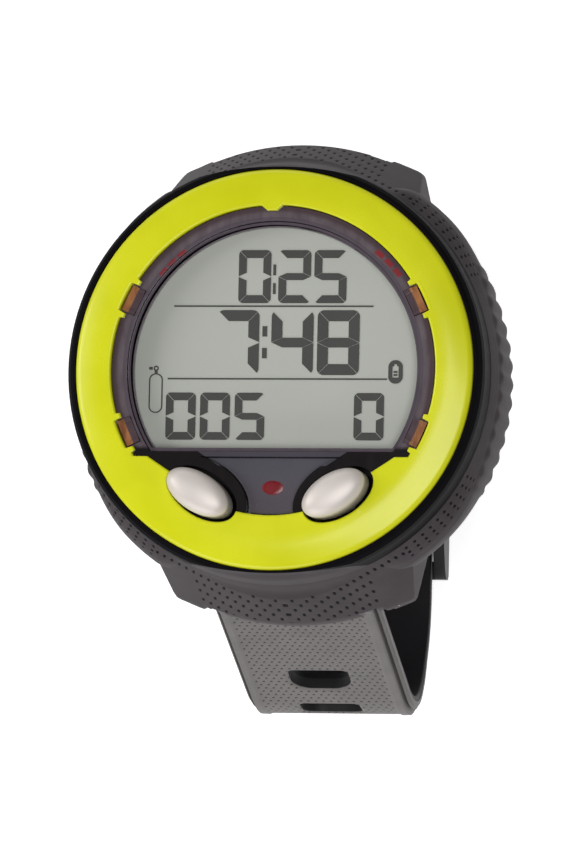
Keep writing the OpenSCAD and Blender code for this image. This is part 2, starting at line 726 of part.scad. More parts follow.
module battery_hatch() {
    color("#232227") at_face() difference() {
        union() {
            slab(back_z, hatch_z) circle(hatch_r);
            slab(hatch_z - hatch_wing_t, hatch_z) intersection() {
                circle(hatch_wing_r);
                square([60, hatch_wing_w], center = true);
            }
            slab(hatch_z, battery_z) circle(battery_bore_r - running_gap);
        }
        // coin slot and a turned ring
        translate([-0.55 * hatch_r, -0.9, back_z - pierce]) cube([1.1 * hatch_r, 1.8, pierce + 0.9]);
        slab(back_z - pierce, back_z + 0.3) ring_2d(hatch_r - 1.2, hatch_r - 1.8);
    }
}

module spring_bar() {
    half = pocket_half + 3.6;
    rotate([0, 90, 0]) {
        cylinder(r = bar_r, h = 2 * half, center = true, $fn = 48);
    }
}
module upper_spring_bar() { color("silver") at_face() translate([0, bar_y, bar_z]) spring_bar(); }
module lower_spring_bar() { color("silver") at_face() translate([0, -bar_y, bar_z]) spring_bar(); }

// ---------- buttons ----------

cap_skirt_z = -2.6;
cap_roof_z = -1.0;                         // the spring bears on the inside of the cap here

module button_cap(side) {
    // oval plug whose top is rounded lengthwise by a sphere and crosswise by a cylinder
    long_r = button_a * 1.55;
    cross_r = button_b * 1.13;
    color("#c8beb7") at_face() at_button(side) difference() {
        intersection() {
            slab(cap_skirt_z, button_top + pierce) oval(0);
            union() {
                translate([0, 0, button_top - long_r]) sphere(long_r, $fn = 128);
                slab(cap_skirt_z - pierce, button_top - long_r / 2) circle(2 * button_a);
            }
            union() {
                translate([0, 0, button_top - cross_r]) rotate([0, 90, 0])
                    cylinder(r = cross_r, h = 4 * button_a, center = true, $fn = 128);
                slab(cap_skirt_z - pierce, button_top - cross_r) square(4 * button_a, center = true);
            }
        }
        slab(cap_skirt_z - pierce, cap_roof_z) oval(-cap_wall);
        slab(cap_skirt_z - pierce, bezel_crown + 0.6) circle(stem_r + 0.01, $fn = 48);
    }
}

stem_low_z = board_top_z + 0.65 + button_travel + 0.1;
groove_z = pocket_under_z - 0.55;

module button_stem(side) {
    color("silver") at_face() at_button(side) difference() {
        slab(stem_low_z, bezel_crown + 0.6) circle(stem_r, $fn = 48);
        slab(groove_z - 0.02, groove_z + 0.47) ring_2d(stem_r + 1, stem_r - 0.3);
    }
}

module button_clip(side) {
    color("#9a9aa0") at_face() at_button(side) slab(groove_z, groove_z + 0.45) difference() {
        circle(stem_r + 1.1, $fn = 48);
        circle(stem_r - 0.28, $fn = 48);
        translate([0, -(stem_r - 0.35)]) square([4, 2 * (stem_r - 0.35)]);
    }
}

// Return spring: one unbroken coil, swept as rings of points
function coil_ring(i, per_turn, r, rise, wire) =
    let(a = i * 360 / per_turn)
    [for (k = [0:5]) [(r + wire * cos(k * 60)) * cos(a), (r + wire * cos(k * 60)) * sin(a),
                      i * rise / per_turn + wire * sin(k * 60)]];

module button_spring(side) {
    per_turn = 14;
    turns = 4;
    wire = 0.2;
    coil_r = button_b - cap_wall - fit_gap - wire;
    height = cap_roof_z - 0.05 - pocket_floor_z - 2 * wire;
    rings = [for (i = [0:per_turn * turns]) coil_ring(i, per_turn, coil_r, height / turns, wire)];
    last = len(rings) - 1;
    walls = [for (i = [0:last - 1], k = [0:5], t = [0, 1])
        let(a = i * 6 + k, b = i * 6 + (k + 1) % 6)
        t == 0 ? [a, b + 6, b] : [a, a + 6, b + 6]];
    ends = [for (k = [1:4]) [0, k, k + 1], for (k = [1:4]) [last * 6, last * 6 + k + 1, last * 6 + k]];
    color("silver") at_face() at_button(side) translate([0, 0, pocket_floor_z + wire + 0.02])
        polyhedron([for (ring = rings) each ring], concat(walls, ends));
}

module button_oring(side) {
    color("#1c1c1c") at_face() at_button(side) translate([0, 0, pocket_floor_z - 0.67])
        oring(stem_r + 0.63, 0.58);
}

module left_button_cap() { button_cap(-1); }
module left_button_stem() { button_stem(-1); }
module left_button_clip() { button_clip(-1); }
module left_button_spring() { button_spring(-1); }
module left_button_oring() { button_oring(-1); }
module right_button_cap() { button_cap(1); }
module right_button_stem() { button_stem(1); }
module right_button_clip() { button_clip(1); }
module right_button_spring() { button_spring(1); }
module right_button_oring() { button_oring(1); }

// ---------- strap loop ----------

// Points along one strap layer at a depth below its outer face, on the +Y side:
// the straight run, the bend in equal steps, and the flat bottom
function loop_edge(layer, depth, end_y, start) =
    let(run = run_length(layer), a = run_angle(layer), steps = 22,
        bend = mid_r * (a + 180) * PI / 180,
        stops = concat([start], [for (i = [0:steps]) run + bend * i / steps]))
    concat([for (s = stops) let(p = strap_place(s, layer), n = p[2] + 90)
            [p[0] + (strap_t / 2 - depth) * cos(n), p[1] + (strap_t / 2 - depth) * sin(n)]],
        [[end_y, layer[0] + depth]]);

// Side view of one strap layer between two depths
module loop_profile(layer, depth_low, depth_high, end_y, start) {
    outside = loop_edge(layer, depth_low, end_y, start);
    inside = loop_edge(layer, depth_high, end_y, start);
    polygon(concat(outside, [for (i = [len(inside) - 1:-1:0]) inside[i]]));
}

// Extrudes a side view across the strap
module across(w) { rotate([90, 0, 90]) linear_extrude(w, center = true) children(); }

// Slot in plan: nearly square corners on the lug side, wide ones on the other
module slot_2d() {
    for (half = [[-1, 1.2], [1, 3.8]]) intersection() {
        rounded_rect(slot_w, slot_l, half[1]);
        translate([0, half[0] * slot_l / 4]) square([slot_w, slot_l / 2 + 0.02], center = true);
    }
}

module slots() {
    for (i = [0:slot_count - 1]) {
        p = strap_place(first_slot + i * slot_pitch, outer_layer);
        translate([0, p[0], p[1]]) rotate([p[2], 0, 0])
            linear_extrude(3 * strap_t, center = true) slot_2d();
    }
}

module tail_plan() {
    // plan view of the lower strap: straight sides and a rounded tail
    w = strap_w;
    translate([-w / 2, -tail_y + w / 3]) square([w, 100]);
    intersection() {
        translate([0, -tail_y + 0.85 * w]) circle(0.85 * w);
        translate([-w / 2, -tail_y]) square([w, w]);
    }
}

// Front view of a strap, full width at the lug and tapered below it, as a block
module strap_sides() {
    full = strap_w / 2;
    low = strap_low_w / 2;
    rotate([90, 0, 0]) linear_extrude(200, center = true)
        polygon([[-full, 0], [full, 0], [full, -30], [low, -60], [low, -face_z], [-low, -face_z],
                 [-low, -60], [-full, -30]]);
}

module strap_body(layer, end_y) {
    difference() {
        union() {
            intersection() {
                across(strap_w) loop_profile(layer, 0, strap_t - lining_t, end_y, 0);
                strap_sides();
            }
            across(strap_w) translate([bar_y, bar_z]) circle(eye_r, $fn = 64);
        }
        translate([0, bar_y, bar_z]) rotate([0, 90, 0])
            cylinder(r = bar_r + running_gap, h = 60, center = true, $fn = 48);
    }
}

module lining_body(layer, end_y) {
    intersection() {
        across(strap_w) loop_profile(layer, strap_t - lining_t, strap_t, end_y, eye_r + 0.6);
        strap_sides();
    }
}

module lower_strap() {
    color("#9a9492") at_face() mirror([0, 1, 0]) difference() {
        intersection() {
            strap_body(outer_layer, -tail_y);
            slab(-face_z, 0) tail_plan();
        }
        slots();
    }
}

module lower_strap_lining() {
    color("#141316") at_face() mirror([0, 1, 0]) difference() {
        intersection() {
            lining_body(outer_layer, -tail_y);
            slab(-face_z, 0) tail_plan();
        }
        slots();
    }
}

module pin_window() {
    reach = tongue_eye_r + 0.7;
    translate([-leg_w / 2 - 0.5, pin_y - 2 * reach, inner_floor_z - pierce])
        cube([leg_w + 1, 3 * reach, strap_t + 2 * pierce]);
}

module upper_strap() {
    color("#9a9492") at_face() difference() {
        union() {
            strap_body(inner_layer, pin_y);
            across(strap_low_w) translate([pin_y, pin_z]) circle(pin_eye_r, $fn = 64);
        }
        translate([0, pin_y, pin_z]) rotate([0, 90, 0])
            cylinder(r = pin_r + 0.01, h = 60, center = true, $fn = 48);
        pin_window();
    }
}

module upper_strap_lining() {
    color("#141316") at_face() lining_body(inner_layer, pin_y + 2 * pin_eye_r - 0.1);
}

keeper_in_h = 2 * strap_t + layer_gap + strap_gap + 0.3;
module keeper(y) {
    w = strap_low_w + 0.6;
    mid = outer_floor_z - strap_gap + keeper_in_h / 2;
    color("#19181b") at_face() translate([0, y, mid]) rotate([90, 0, 0]) difference() {
        linear_extrude(keeper_l, center = true)
            rounded_rect(w + 2 * keeper_wall, keeper_in_h + 2 * keeper_wall, 1.6);
        linear_extrude(keeper_l + 2, center = true) square([w, keeper_in_h], center = true);
    }
}
fixed_keeper_y = 1;
sliding_keeper_y = 14;
module fixed_keeper() { keeper(fixed_keeper_y); }
module sliding_keeper() { keeper(sliding_keeper_y); }

module buckle_pin() {
    color("silver") at_face() translate([0, pin_y, pin_z]) rotate([0, 90, 0])
        cylinder(r = pin_r, h = 2 * frame_half - 0.6, center = true, $fn = 48);
}

bar_top_z = outer_floor_z - 0.25;
frame_front_y = pin_y - frame_l + 1.5;
front_bar_l = 3.4;

module buckle_frame() {
    low = -face_z;
    arm = [[frame_front_y + 0.8, low], [pin_y - 0.5, low], [pin_y + 2.3, pin_z], [pin_y - 2.3, pin_z + 0.6],
           [frame_front_y + 1.6, bar_top_z + 2.6], [frame_front_y, bar_top_z + 0.8],
           [frame_front_y, low + 0.8]];
    color("#1b1a1d") at_face() difference() {
        union() {
            for (side = [-1, 1]) translate([side * (frame_half - frame_arm / 2), 0, 0])
                across(frame_arm) { polygon(arm); translate([pin_y, pin_z]) circle(2.3, $fn = 48); }
            across(2 * frame_half - 0.2) translate([frame_front_y, low]) {
                translate([0, 0.8]) square([front_bar_l, bar_top_z - low - 0.8]);
                translate([0.8, 0]) square([front_bar_l - 0.8, 1]);
            }
        }
        translate([0, pin_y, pin_z]) rotate([0, 90, 0])
            cylinder(r = pin_r + running_gap, h = 60, center = true, $fn = 48);
        // seat of the tongue's tip in the front bar
        translate([-tongue_w / 2 - 0.3, frame_front_y - pierce, low - pierce])
            cube([tongue_w + 0.6, front_bar_l + 2 * pierce, tongue_t + 0.35 + pierce]);
    }
}

module buckle_tongue() {
    low = -face_z + 0.2;
    color("#b9bcc0") at_face() difference() {
        union() {
            across(leg_w) {
                translate([pin_y, pin_z]) circle(tongue_eye_r, $fn = 48);
                // leg through the slot
                polygon([[pin_y - 1.5, pin_z - 0.9], [pin_y - 0.2, pin_z - 1.5],
                         [pin_y - 2.0, low + tongue_t], [pin_y - 2.0, low], [pin_y - 3.4, low]]);
            }
            // blade that lies on the front bar
            across(tongue_w) translate([frame_front_y + 0.5, low])
                square([pin_y - 2.2 - frame_front_y - 0.5, tongue_t]);
        }
        translate([0, pin_y, pin_z]) rotate([0, 90, 0])
            cylinder(r = pin_r + running_gap, h = 60, center = true, $fn = 48);
    }
}

wrist_boot();
module_case();
bezel();
upper_housing();
bezel_clips();
display_lens();
lens_gasket();
lcd_panel();
lcd_segments();
display_frame();
light_guide();
connector_strip();
lower_trim_panel();
status_lights();
circuit_board();
board_chips();
button_switches();
antenna();
pressure_sensor();
sensor_oring();
sounder();
wet_contacts();
battery();
battery_contacts();
back_cover();
case_screws();
hatch_oring();
battery_hatch();
upper_spring_bar();
lower_spring_bar();
left_button_cap();
left_button_stem();
left_button_clip();
left_button_spring();
left_button_oring();
right_button_cap();
right_button_stem();
right_button_clip();
right_button_spring();
right_button_oring();
upper_strap();
upper_strap_lining();
fixed_keeper();
buckle_pin();
sliding_keeper();
buckle_frame();
buckle_tongue();
lower_strap();
lower_strap_lining();
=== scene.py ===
"""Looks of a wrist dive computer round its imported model.

Shapes are worked out in millimetres from the face plane (the rim of the yellow bezel) and put in place
in metres by solid(): X towards three o'clock, Y towards twelve, Z the way the display looks.
"""
import json
import bmesh
import bpy
import numpy as np
from mathutils import Matrix, Vector


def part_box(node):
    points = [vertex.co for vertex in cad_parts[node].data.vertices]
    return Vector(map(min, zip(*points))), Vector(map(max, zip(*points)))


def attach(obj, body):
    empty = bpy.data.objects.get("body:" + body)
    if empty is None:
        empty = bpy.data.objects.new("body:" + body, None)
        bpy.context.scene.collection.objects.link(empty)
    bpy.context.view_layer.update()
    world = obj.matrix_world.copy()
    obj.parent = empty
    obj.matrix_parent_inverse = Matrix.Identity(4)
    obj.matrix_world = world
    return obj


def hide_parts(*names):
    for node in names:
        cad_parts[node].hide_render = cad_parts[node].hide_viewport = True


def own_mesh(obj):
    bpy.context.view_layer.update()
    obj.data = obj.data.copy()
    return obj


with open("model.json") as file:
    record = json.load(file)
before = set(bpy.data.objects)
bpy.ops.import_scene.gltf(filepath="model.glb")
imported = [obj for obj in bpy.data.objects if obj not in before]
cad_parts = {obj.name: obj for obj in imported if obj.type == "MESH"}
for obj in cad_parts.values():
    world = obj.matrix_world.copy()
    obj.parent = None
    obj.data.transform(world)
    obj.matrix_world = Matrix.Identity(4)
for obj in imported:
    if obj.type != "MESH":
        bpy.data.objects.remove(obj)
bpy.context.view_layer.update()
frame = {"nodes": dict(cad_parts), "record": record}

MM = 0.001
FACE_Z = 98.8                 # face plane above the floor
PI = np.pi
DEGREES = 180 / PI

# Sizes shared with the solids, in millimetres from the face plane
BEZEL_R = 35.8
OPENING_R = 29.2
LIP_R = 37.6
LIP_Z = -9.2
BACK_Z = -31.0
LENS_FLAT = 14.68
BUTTON = (12.198, -22.279)
BUTTON_HALF = (6.5, 3.6)
CAP_HALF = (6.2, 3.45)         # the caps are a little smaller than their openings
BUTTON_TILT = np.radians(32)
CLIP_TURNS = np.radians([25.6, -23.6, 154.4, 203.6])
BAR = (38.9, -27.2)
STRAP_W, STRAP_LOW_W, STRAP_T, LINING_T = 30.4, 28.4, 3.6, 1.0
LOOP_R = 24.0
MID_R = LOOP_R - STRAP_T / 2
OUTER_LAYER, INNER_LAYER = (-96.5, 32.5), (-92.4, 20.0)     # outer face and bend centre of each strap
EYE_R = 2.3
PIN_Y, PIN_EYE_R, WINDOW_HALF = -13.806, 1.75, 3.5
SCOOP_R, SCOOP_IN = 60.0, 36.25
SLOT_START, SLOT_PITCH, SLOT_COUNT = 31.0, 14.3, 8
SLOT_HALF, SLOT_CORNERS = (5.6, 4.0), (1.2, 3.8)     # half width and half length; lug side and tail side
TAIL_END = -24.0
RING_STEP, RING_EDGE, LAMP_R = 26.95, 28.15, 27.55   # the tinted ring's step, dark edge and lamps
LAMP_SHIFT, LAMP_PITCH = (1.0, -0.6), 4.75           # the lamps lie 6 mm under the ring; pitch in degrees
CAP_SHIFT, BUTTON_TOP, BUTTON_TRAVEL = (-0.6, 0.1), 4.6, 1.0
OVAL, OVAL_HALF = (0.25, -21.1), (1.85, 1.22)        # red window on the trim panel
APRON_HALF, FOOT_Z = 16.3, -28.4
GRIP_PITCH, GRIP_HEIGHT = 5.1, 0.5                   # of the ribs, in degrees and millimetres
SWELL = 1.75                                         # of the boot's body beside the lugs
POCKET = ((-15.45, 36.2, -32.0), (15.45, 41.6, -24.5))
SLOT_MARK, UNDER_MARK = 10000, 300                   # added to the underside's map by a slot, where it marks the slot walls for painted shade, and elsewhere


# ---------- meshes ----------

def solid(name, points, faces, body, slot, uv=None):
    """Mesh piece from points in face millimetres and faces. A closed piece whose signed volume (sum of the
    tetrahedra from the origin to each triangle) is negative has its faces turned over. Rides on its body."""
    points = np.asarray(points, float)
    place = (points + (0, 0, FACE_Z)) * MM
    mesh = bpy.data.meshes.new(name)
    mesh.from_pydata(place.tolist(), [], [list(map(int, f)) for f in faces])
    if uv is not None:
        loop_vertex = np.zeros(len(mesh.loops), np.int32)
        mesh.loops.foreach_get("vertex_index", loop_vertex)
        layer = mesh.uv_layers.new(name="strap_mm")
        layer.data.foreach_set("uv", np.asarray(uv, np.float32)[loop_vertex].ravel())
    mesh.calc_loop_triangles()
    corner = np.zeros(len(mesh.loop_triangles) * 3, np.int32)
    mesh.loop_triangles.foreach_get("vertices", corner)
    a, b, c = place[corner.reshape(-1, 3)].transpose(1, 0, 2)
    if np.einsum("ij,ij->i", a, np.cross(b, c)).sum() < 0:
        mesh.flip_normals()
    mesh.shade_smooth()
    mesh.validate()
    piece = bpy.data.objects.new(name, mesh)
    bpy.context.scene.collection.objects.link(piece)
    dress(piece, slot)
    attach(piece, body)
    return piece


def grid_faces(rows, columns, wrap_rows, wrap_columns):
    """Quads of a grid of rows x columns points, closed on itself where it wraps."""
    i = np.arange(rows if wrap_rows else rows - 1)
    j = np.arange(columns if wrap_columns else columns - 1)
    i, j = np.meshgrid(i, j, indexing="ij")
    i, j = i.ravel(), j.ravel()
    up, on = (i + 1) % rows, (j + 1) % columns
    return np.stack([i * columns + j, up * columns + j, up * columns + on, i * columns + on], 1)


def around(turn, rings):
    """Points of rings given as radius and height, at each turn."""
    return np.concatenate([np.stack([r * np.cos(turn), r * np.sin(turn), np.broadcast_to(z, turn.shape)], 1)
                           for r, z in rings])


def sharpened(piece, degrees):
    """Edges whose faces meet at more than so many degrees are drawn sharp."""
    piece.data.set_sharp_from_angle(angle=np.radians(degrees))
    return piece


def smoothstep(low, high, value):
    """0 below low, 1 above high, and 3t^2 - 2t^3 between."""
    t = np.clip((value - low) / (high - low), 0, 1)
    return t * t * (3 - 2 * t)


# ---------- materials ----------

def screen(red, green, blue):
    """Linear colour of a screen colour from 0 to 255."""
    return tuple(((c / 255 + 0.055) / 1.055) ** 2.4 for c in (red, green, blue)) + (1.0,)


class Value:
    """A socket's value in a material; arithmetic on it adds Math nodes."""

    def __init__(self, finish, socket):
        self.finish, self.socket = finish, socket

    def math(self, operation, *values):
        return self.finish.node("ShaderNodeMath", {"operation": operation}, dict(enumerate(values)))

    def __add__(self, other): return self.math("ADD", self, other)
    def __radd__(self, other): return self.math("ADD", other, self)
    def __sub__(self, other): return self.math("SUBTRACT", self, other)
    def __rsub__(self, other): return self.math("SUBTRACT", other, self)
    def __mul__(self, other): return self.math("MULTIPLY", self, other)
    def __rmul__(self, other): return self.math("MULTIPLY", other, self)
    def __truediv__(self, other): return self.math("DIVIDE", self, other)
    def __rtruediv__(self, other): return self.math("DIVIDE", other, self)
    def __abs__(self): return self.math("ABSOLUTE", self)

    def fract(self): return self.math("FRACT", self)
    def floor(self): return self.math("FLOOR", self)
    def most(self, other): return self.math("MAXIMUM", self, other)

    def step(self, low, high):
        """Smooth step from 0 at low to 1 at high; low may be the larger."""
        return self.finish.node("ShaderNodeMapRange", {"interpolation_type": "SMOOTHSTEP"},
                                {0: self, 1: low, 2: high, 3: 0.0, 4: 1.0})


class Finish:
    """A material round one Principled shader whose constants stay on its own sockets."""

    def __init__(self, name, colour, **constants):
        self.material = bpy.data.materials.new(name)
        self.material.use_nodes = True
        self.tree = self.material.node_tree
        self.shader = self.tree.nodes["Principled BSDF"]
        self.shader.inputs["Base Color"].default_value = colour
        for key, value in constants.items():
            self.shader.inputs[key.replace("_", " ").title().replace("Ior", "IOR")].default_value = value

    def node(self, kind, settings, inputs, output=0):
        made = self.tree.nodes.new(kind)
        for key, value in settings.items():
            setattr(made, key, value)
        for key, value in inputs.items():
            if isinstance(value, Value):
                self.tree.links.new(value.socket, made.inputs[key])
            else:
                made.inputs[key].default_value = value
        return Value(self, made.outputs[output])

    def into(self, name, value):
        self.tree.links.new(value.socket, self.shader.inputs[name])
        return self

    def place(self):
        """Object coordinates in metres."""
        return self.node("ShaderNodeTexCoord", {}, {}, "Object")

    def axes(self, source=None, scale=1000.0):
        """The three coordinates of a vector, in millimetres."""
        source = source or self.place()
        split = self.tree.nodes.new("ShaderNodeSeparateXYZ")
        self.tree.links.new(source.socket, split.inputs[0])
        return [Value(self, split.outputs[k]) * scale for k in range(3)]

    def noise(self, size_mm, detail=3.0, stretch=(1, 1, 1)):
        """Noise whose features are about so many millimetres, drawn out along an axis by stretch."""
        spread = self.node("ShaderNodeMapping", {}, {"Vector": self.place(),
                                                     "Scale": tuple(1000 / size_mm / s for s in stretch)})
        return self.node("ShaderNodeTexNoise", {}, {"Vector": spread, "Scale": 1.0, "Detail": detail}, "Fac")

    def distance(self, u, v):
        """Square root of the sum of the squares."""
        return self.node("ShaderNodeMath", {"operation": "SQRT"}, {0: u * u + v * v})

    def degrees(self, across, along):
        """Turn in degrees whose tangent is across over along."""
        return self.node("ShaderNodeMath", {"operation": "ARCTAN2"}, {0: across, 1: along}) * DEGREES

    def mix(self, share, low, high):
        """Colour between low and high."""
        return self.node("ShaderNodeMix", {"data_type": "RGBA"}, {0: share, 6: low, 7: high}, 2)

    def bump(self, height, depth_mm):
        """Surface relief from a height of 0 to 1 over so many millimetres."""
        relief = {"Strength": 1.0, "Distance": depth_mm * MM, "Height": height}
        return self.into("Normal", self.node("ShaderNodeBump", {}, relief, "Normal"))


def moulded(name, low, high, rough, grain_mm=0.35, grain_depth=0.012, patch_mm=14.0, **constants):
    """Moulded plastic or rubber: a patchy shade between two colours, a fine grain and a varying roughness."""
    made = Finish(name, low, **constants)
    patch = made.noise(patch_mm, 4.0)
    grain = made.noise(grain_mm, 2.0)
    made.into("Base Color", made.mix((patch * 0.8 + grain * 0.35 - 0.1).step(0.15, 0.85), low, high))
    made.into("Roughness", patch * 0.1 + grain * 0.08 + (rough - 0.09))
    made.bump(grain, grain_depth)
    return made


def brushed(name, low, high, rough, stretch, **constants):
    """Metal with fine brushing drawn out along one axis."""
    made = Finish(name, low, metallic=1.0, **constants)
    line = made.noise(0.12, 3.0, stretch)
    patch = made.noise(5.0, 3.0)
    made.into("Base Color", made.mix(line * 0.5 + patch * 0.5, low, high))
    made.into("Roughness", line * 0.16 + patch * 0.1 + (rough - 0.13))
    made.bump(line, 0.004)
    return made


def dots(finish, along, across, pitch_along, pitch_across, radius, soft=0.08, squeeze=1.0):
    """Round dots on a staggered lattice: every second row is half a pitch on. Gives 1 inside a dot."""
    row = (across / pitch_across).floor()
    shift = (row * 0.5).fract()
    u = ((along / pitch_along + shift).fract() - 0.5) * pitch_along
    v = ((across / pitch_across).fract() - 0.5) * (pitch_across * squeeze)
    return finish.distance(u, v).step(radius + soft, radius - soft)


def dot_depth(along, across, pitch_along, pitch_across, radius, squeeze=1.0):
    """The same lattice for points: 1 at a dot's middle, falling to 0 at its edge."""
    row = np.floor(across / pitch_across)
    u = ((along / pitch_along + np.mod(row * 0.5, 1)) % 1 - 0.5) * pitch_along
    v = ((across / pitch_across) % 1 - 0.5) * pitch_across * squeeze
    return np.clip(1.25 - np.hypot(u, v) / radius, 0, 1)


BOOT_PITCH = (2.59, 0.68)     # of the apron's dimples in plan, along a row and from row to row
BOOT_START = (15.75, 35.2)    # where the lattice meets the row along the lip
BOOT_DOT, BOOT_SQUEEZE = 0.3, 1.25
ROW_SLOPE = 0.525             # of the row along the lip, in plan
APRON_R = 43.45
DASH_START, DASH_TURN = 36.6, 2.8              # columns of three dimples towards the grips, in degrees
DASH_TOP, DASH_PITCH = -9.6, 1.05
STRAP_PITCH = (1.41, 1.4)
STRAP_DOT = 0.27
FIELD_HALF = 12.2             # half width of the strap's dimpled field


def boot_rubber():
    low, high = screen(56, 51, 54), screen(74, 69, 72)
    made = Finish("boot_rubber", low, specular_ior_level=0.1)
    x, y, z = made.axes()
    z, y, side = z - FACE_Z, abs(y), abs(x)
    patch, grain = made.noise(9.0, 4.0), made.noise(0.3, 2.0)
    skin = made.mix((patch * 0.7 + grain * 0.3).step(0.2, 0.8), low, high)
    reach = made.distance(x, y)
    row = y + side * ROW_SLOPE - (BOOT_START[1] + BOOT_START[0] * ROW_SLOPE)
    field = (y - 38.95 - side.step(4.15, 4.05) * 0.6).step(-0.05, 0.05).most((row + 0.34).step(-0.03, 0.03))
    field = field * reach.step(43.25, 43.15)
    field = field * side.step(16.6, 16.4).most((row - 0.34).step(0.03, -0.03) * side.step(23.0, 22.9))
    field = field * (z - LIP_Z).step(-0.4, -0.5)
    spot = dots(made, side - (BOOT_START[0] - BOOT_PITCH[0] / 2), y - (BOOT_START[1] - BOOT_PITCH[1] / 2),
                BOOT_PITCH[0], BOOT_PITCH[1], BOOT_DOT, 0.05, BOOT_SQUEEZE) * field
    turn = made.degrees(side, y)
    column = turn - (DASH_START - DASH_TURN / 2)
    wall = (((z - DASH_TOP) / DASH_PITCH).fract() - 0.5) * (DASH_PITCH * 1.3)
    dash = spots(made, column, DASH_TURN, 0.68, wall, 0.32) * column.step(-0.1, 0.1) * turn.step(63.3, 63.1)
    dash = dash * (z - DASH_TOP).step(0, -0.05) * (z - DASH_TOP + 3 * DASH_PITCH).step(-0.05, 0)
    made.into("Base Color", made.mix(spot.most(dash), skin, screen(10, 8, 10)))
    made.into("Roughness", patch * 0.12 + grain * 0.1 + 0.5)
    made.bump(grain, 0.02)
    return made


def spots(finish, turn, pitch, mm_per_degree, across, radius):
    """Round spots along a circle: every so many degrees, 1 inside the radius."""
    u = ((turn / pitch).fract() - 0.5) * (pitch * mm_per_degree)
    return finish.distance(u, across).step(radius + 0.05, radius - 0.05)


def strap_rubber():
    low, high = screen(92, 88, 88), screen(115, 111, 110)
    made = Finish("strap_grey", low, specular_ior_level=0.3)
    across, along, _ = made.axes(made.node("ShaderNodeUVMap", {"uv_map": "strap_mm"}, {}), 1.0)
    patch, grain = made.noise(8.0, 4.0), made.noise(0.28, 2.0)
    outside = along.step(201, 199)              # no strap is longer; the underside's map starts further on
    field = abs(across).step(FIELD_HALF + 0.1, FIELD_HALF - 0.1) * outside
    spot = dots(made, across, along, STRAP_PITCH[0], STRAP_PITCH[1], STRAP_DOT, 0.06) * field
    skin = made.mix((patch * 0.6 + grain * 0.4).step(0.2, 0.8), low, high)
    skin = made.mix(spot * 0.95, skin, screen(38, 34, 34))
    # Painted shade on the slot walls: below their top edge the walls of each slot are painted nearly black.
    hollow = along.step(2 * UNDER_MARK, 2 * UNDER_MARK + 2)
    # Painted shade in the grooves along the strap's sides, heavier on the three o'clock side than on the nine
    # o'clock side.
    edge = abs(abs(across) - 14.4).step(0.34, 0.26) * outside
    skin = made.mix(edge * (across.step(-1, 1) * 0.6 + 0.15), skin, screen(58, 52, 52))
    made.into("Base Color", made.mix(hollow, skin, screen(22, 20, 22)))
    made.into("Roughness", patch * 0.12 + grain * 0.12 + 0.45)
    made.bump(grain, 0.02)
    return made


def smoked():
    """Smoke-tinted plastic: rings of different depth of tint with streaks, the painted glow of the red lamps
    under the ring as three bars on each side, and nearly black round the buttons."""
    made = Finish("smoke_plastic", screen(84, 74, 80), coat_weight=0.6, coat_roughness=0.08, roughness=0.2)
    x, y, z = made.axes()
    reach = made.distance(x, y)
    streak = made.noise(1.6, 4.0, (1, 3, 1))
    inner = (reach - RING_STEP).step(0.25, -0.25)
    outer = (reach - RING_EDGE).step(-0.5, 0.4)
    shade = made.mix((streak * 1.2 - 0.1).step(0.1, 0.9), screen(76, 67, 72), screen(98, 88, 94))
    shade = made.mix(inner * 0.8, shade, screen(78, 69, 78))
    shade = made.mix(outer * 0.85, shade, screen(64, 47, 52))
    shade = made.mix(abs(reach - RING_STEP).step(0.12, 0.02) * 0.3, shade, screen(46, 40, 46))
    deep_x, deep_y = x - LAMP_SHIFT[0], y - LAMP_SHIFT[1]
    deep = made.distance(deep_x, deep_y)
    turn = made.degrees(deep_y, abs(deep_x)) - 45
    # Painted glow of the red lamps under the ring: three bars on each side.
    bars = abs((turn / LAMP_PITCH + 0.5).fract() - 0.5).step(0.45, 0.32) * abs(turn).step(7.2, 6.9)
    lit = bars * abs(deep - LAMP_R).step(0.6, 0.3) * abs(z - FACE_Z + 0.4).step(2.0, 1.6)
    dark = made.mix(y.step(-13.5, -14.5), shade, screen(16, 11, 13))
    strip = ((y + 16.4) * 1.5 + 11.0 - abs(x - 0.25)).step(-0.1, 0.1) * y.step(-17.4, -17.2)
    dark = made.mix(strip * y.step(-14.3, -14.5) * 0.8, dark, screen(76, 72, 82))
    made.into("Base Color", made.mix(lit * (streak * 0.4 + 0.6), dark, screen(132, 20, 28)))
    made.into("Roughness", streak * 0.12 + 0.1)
    made.into("Coat Weight", y.step(-14.5, -13.5) * 0.5 + 0.1)
    return made


def amber_clip():
    """Amber outside the tinted ring, smoke inside it."""
    made = Finish("amber_plastic", screen(170, 110, 62), coat_weight=0.4, coat_roughness=0.1)
    x, y, _ = made.axes()
    reach = made.distance(x, y)
    patch = made.noise(1.6, 3.0, (1, 3, 1))
    amber = made.mix(patch.step(0.25, 0.75), screen(104, 58, 30), screen(160, 104, 58))
    made.into("Base Color", made.mix((reach - RING_EDGE).step(0.15, -0.15), amber, screen(66, 50, 56)))
    made.into("Roughness", patch * 0.15 + 0.2)
    made.bump(patch, 0.03)
    return made


def trim_panel():
    """Dark blue-grey panel between the buttons with a red oval window in its middle."""
    made = Finish("trim_plastic", screen(70, 70, 80), coat_weight=0.5, coat_roughness=0.1)
    x, y, _ = made.axes()
    u, v = (x - OVAL[0]) / (OVAL_HALF[0] + 0.05), (y - OVAL[1]) / (OVAL_HALF[1] + 0.03)
    oval = (u * u + v * v).step(1.12, 0.9)
    patch = made.noise(5.0, 3.0)
    shade = made.mix(y.step(-23.5, -16.5), screen(76, 70, 78), screen(72, 71, 80))
    shade = made.mix(patch * 0.3, shade, screen(66, 62, 70))
    made.into("Base Color", made.mix(oval, shade, screen(112, 18, 26)))
    made.into("Roughness", patch * 0.12 + 0.22)
    return made


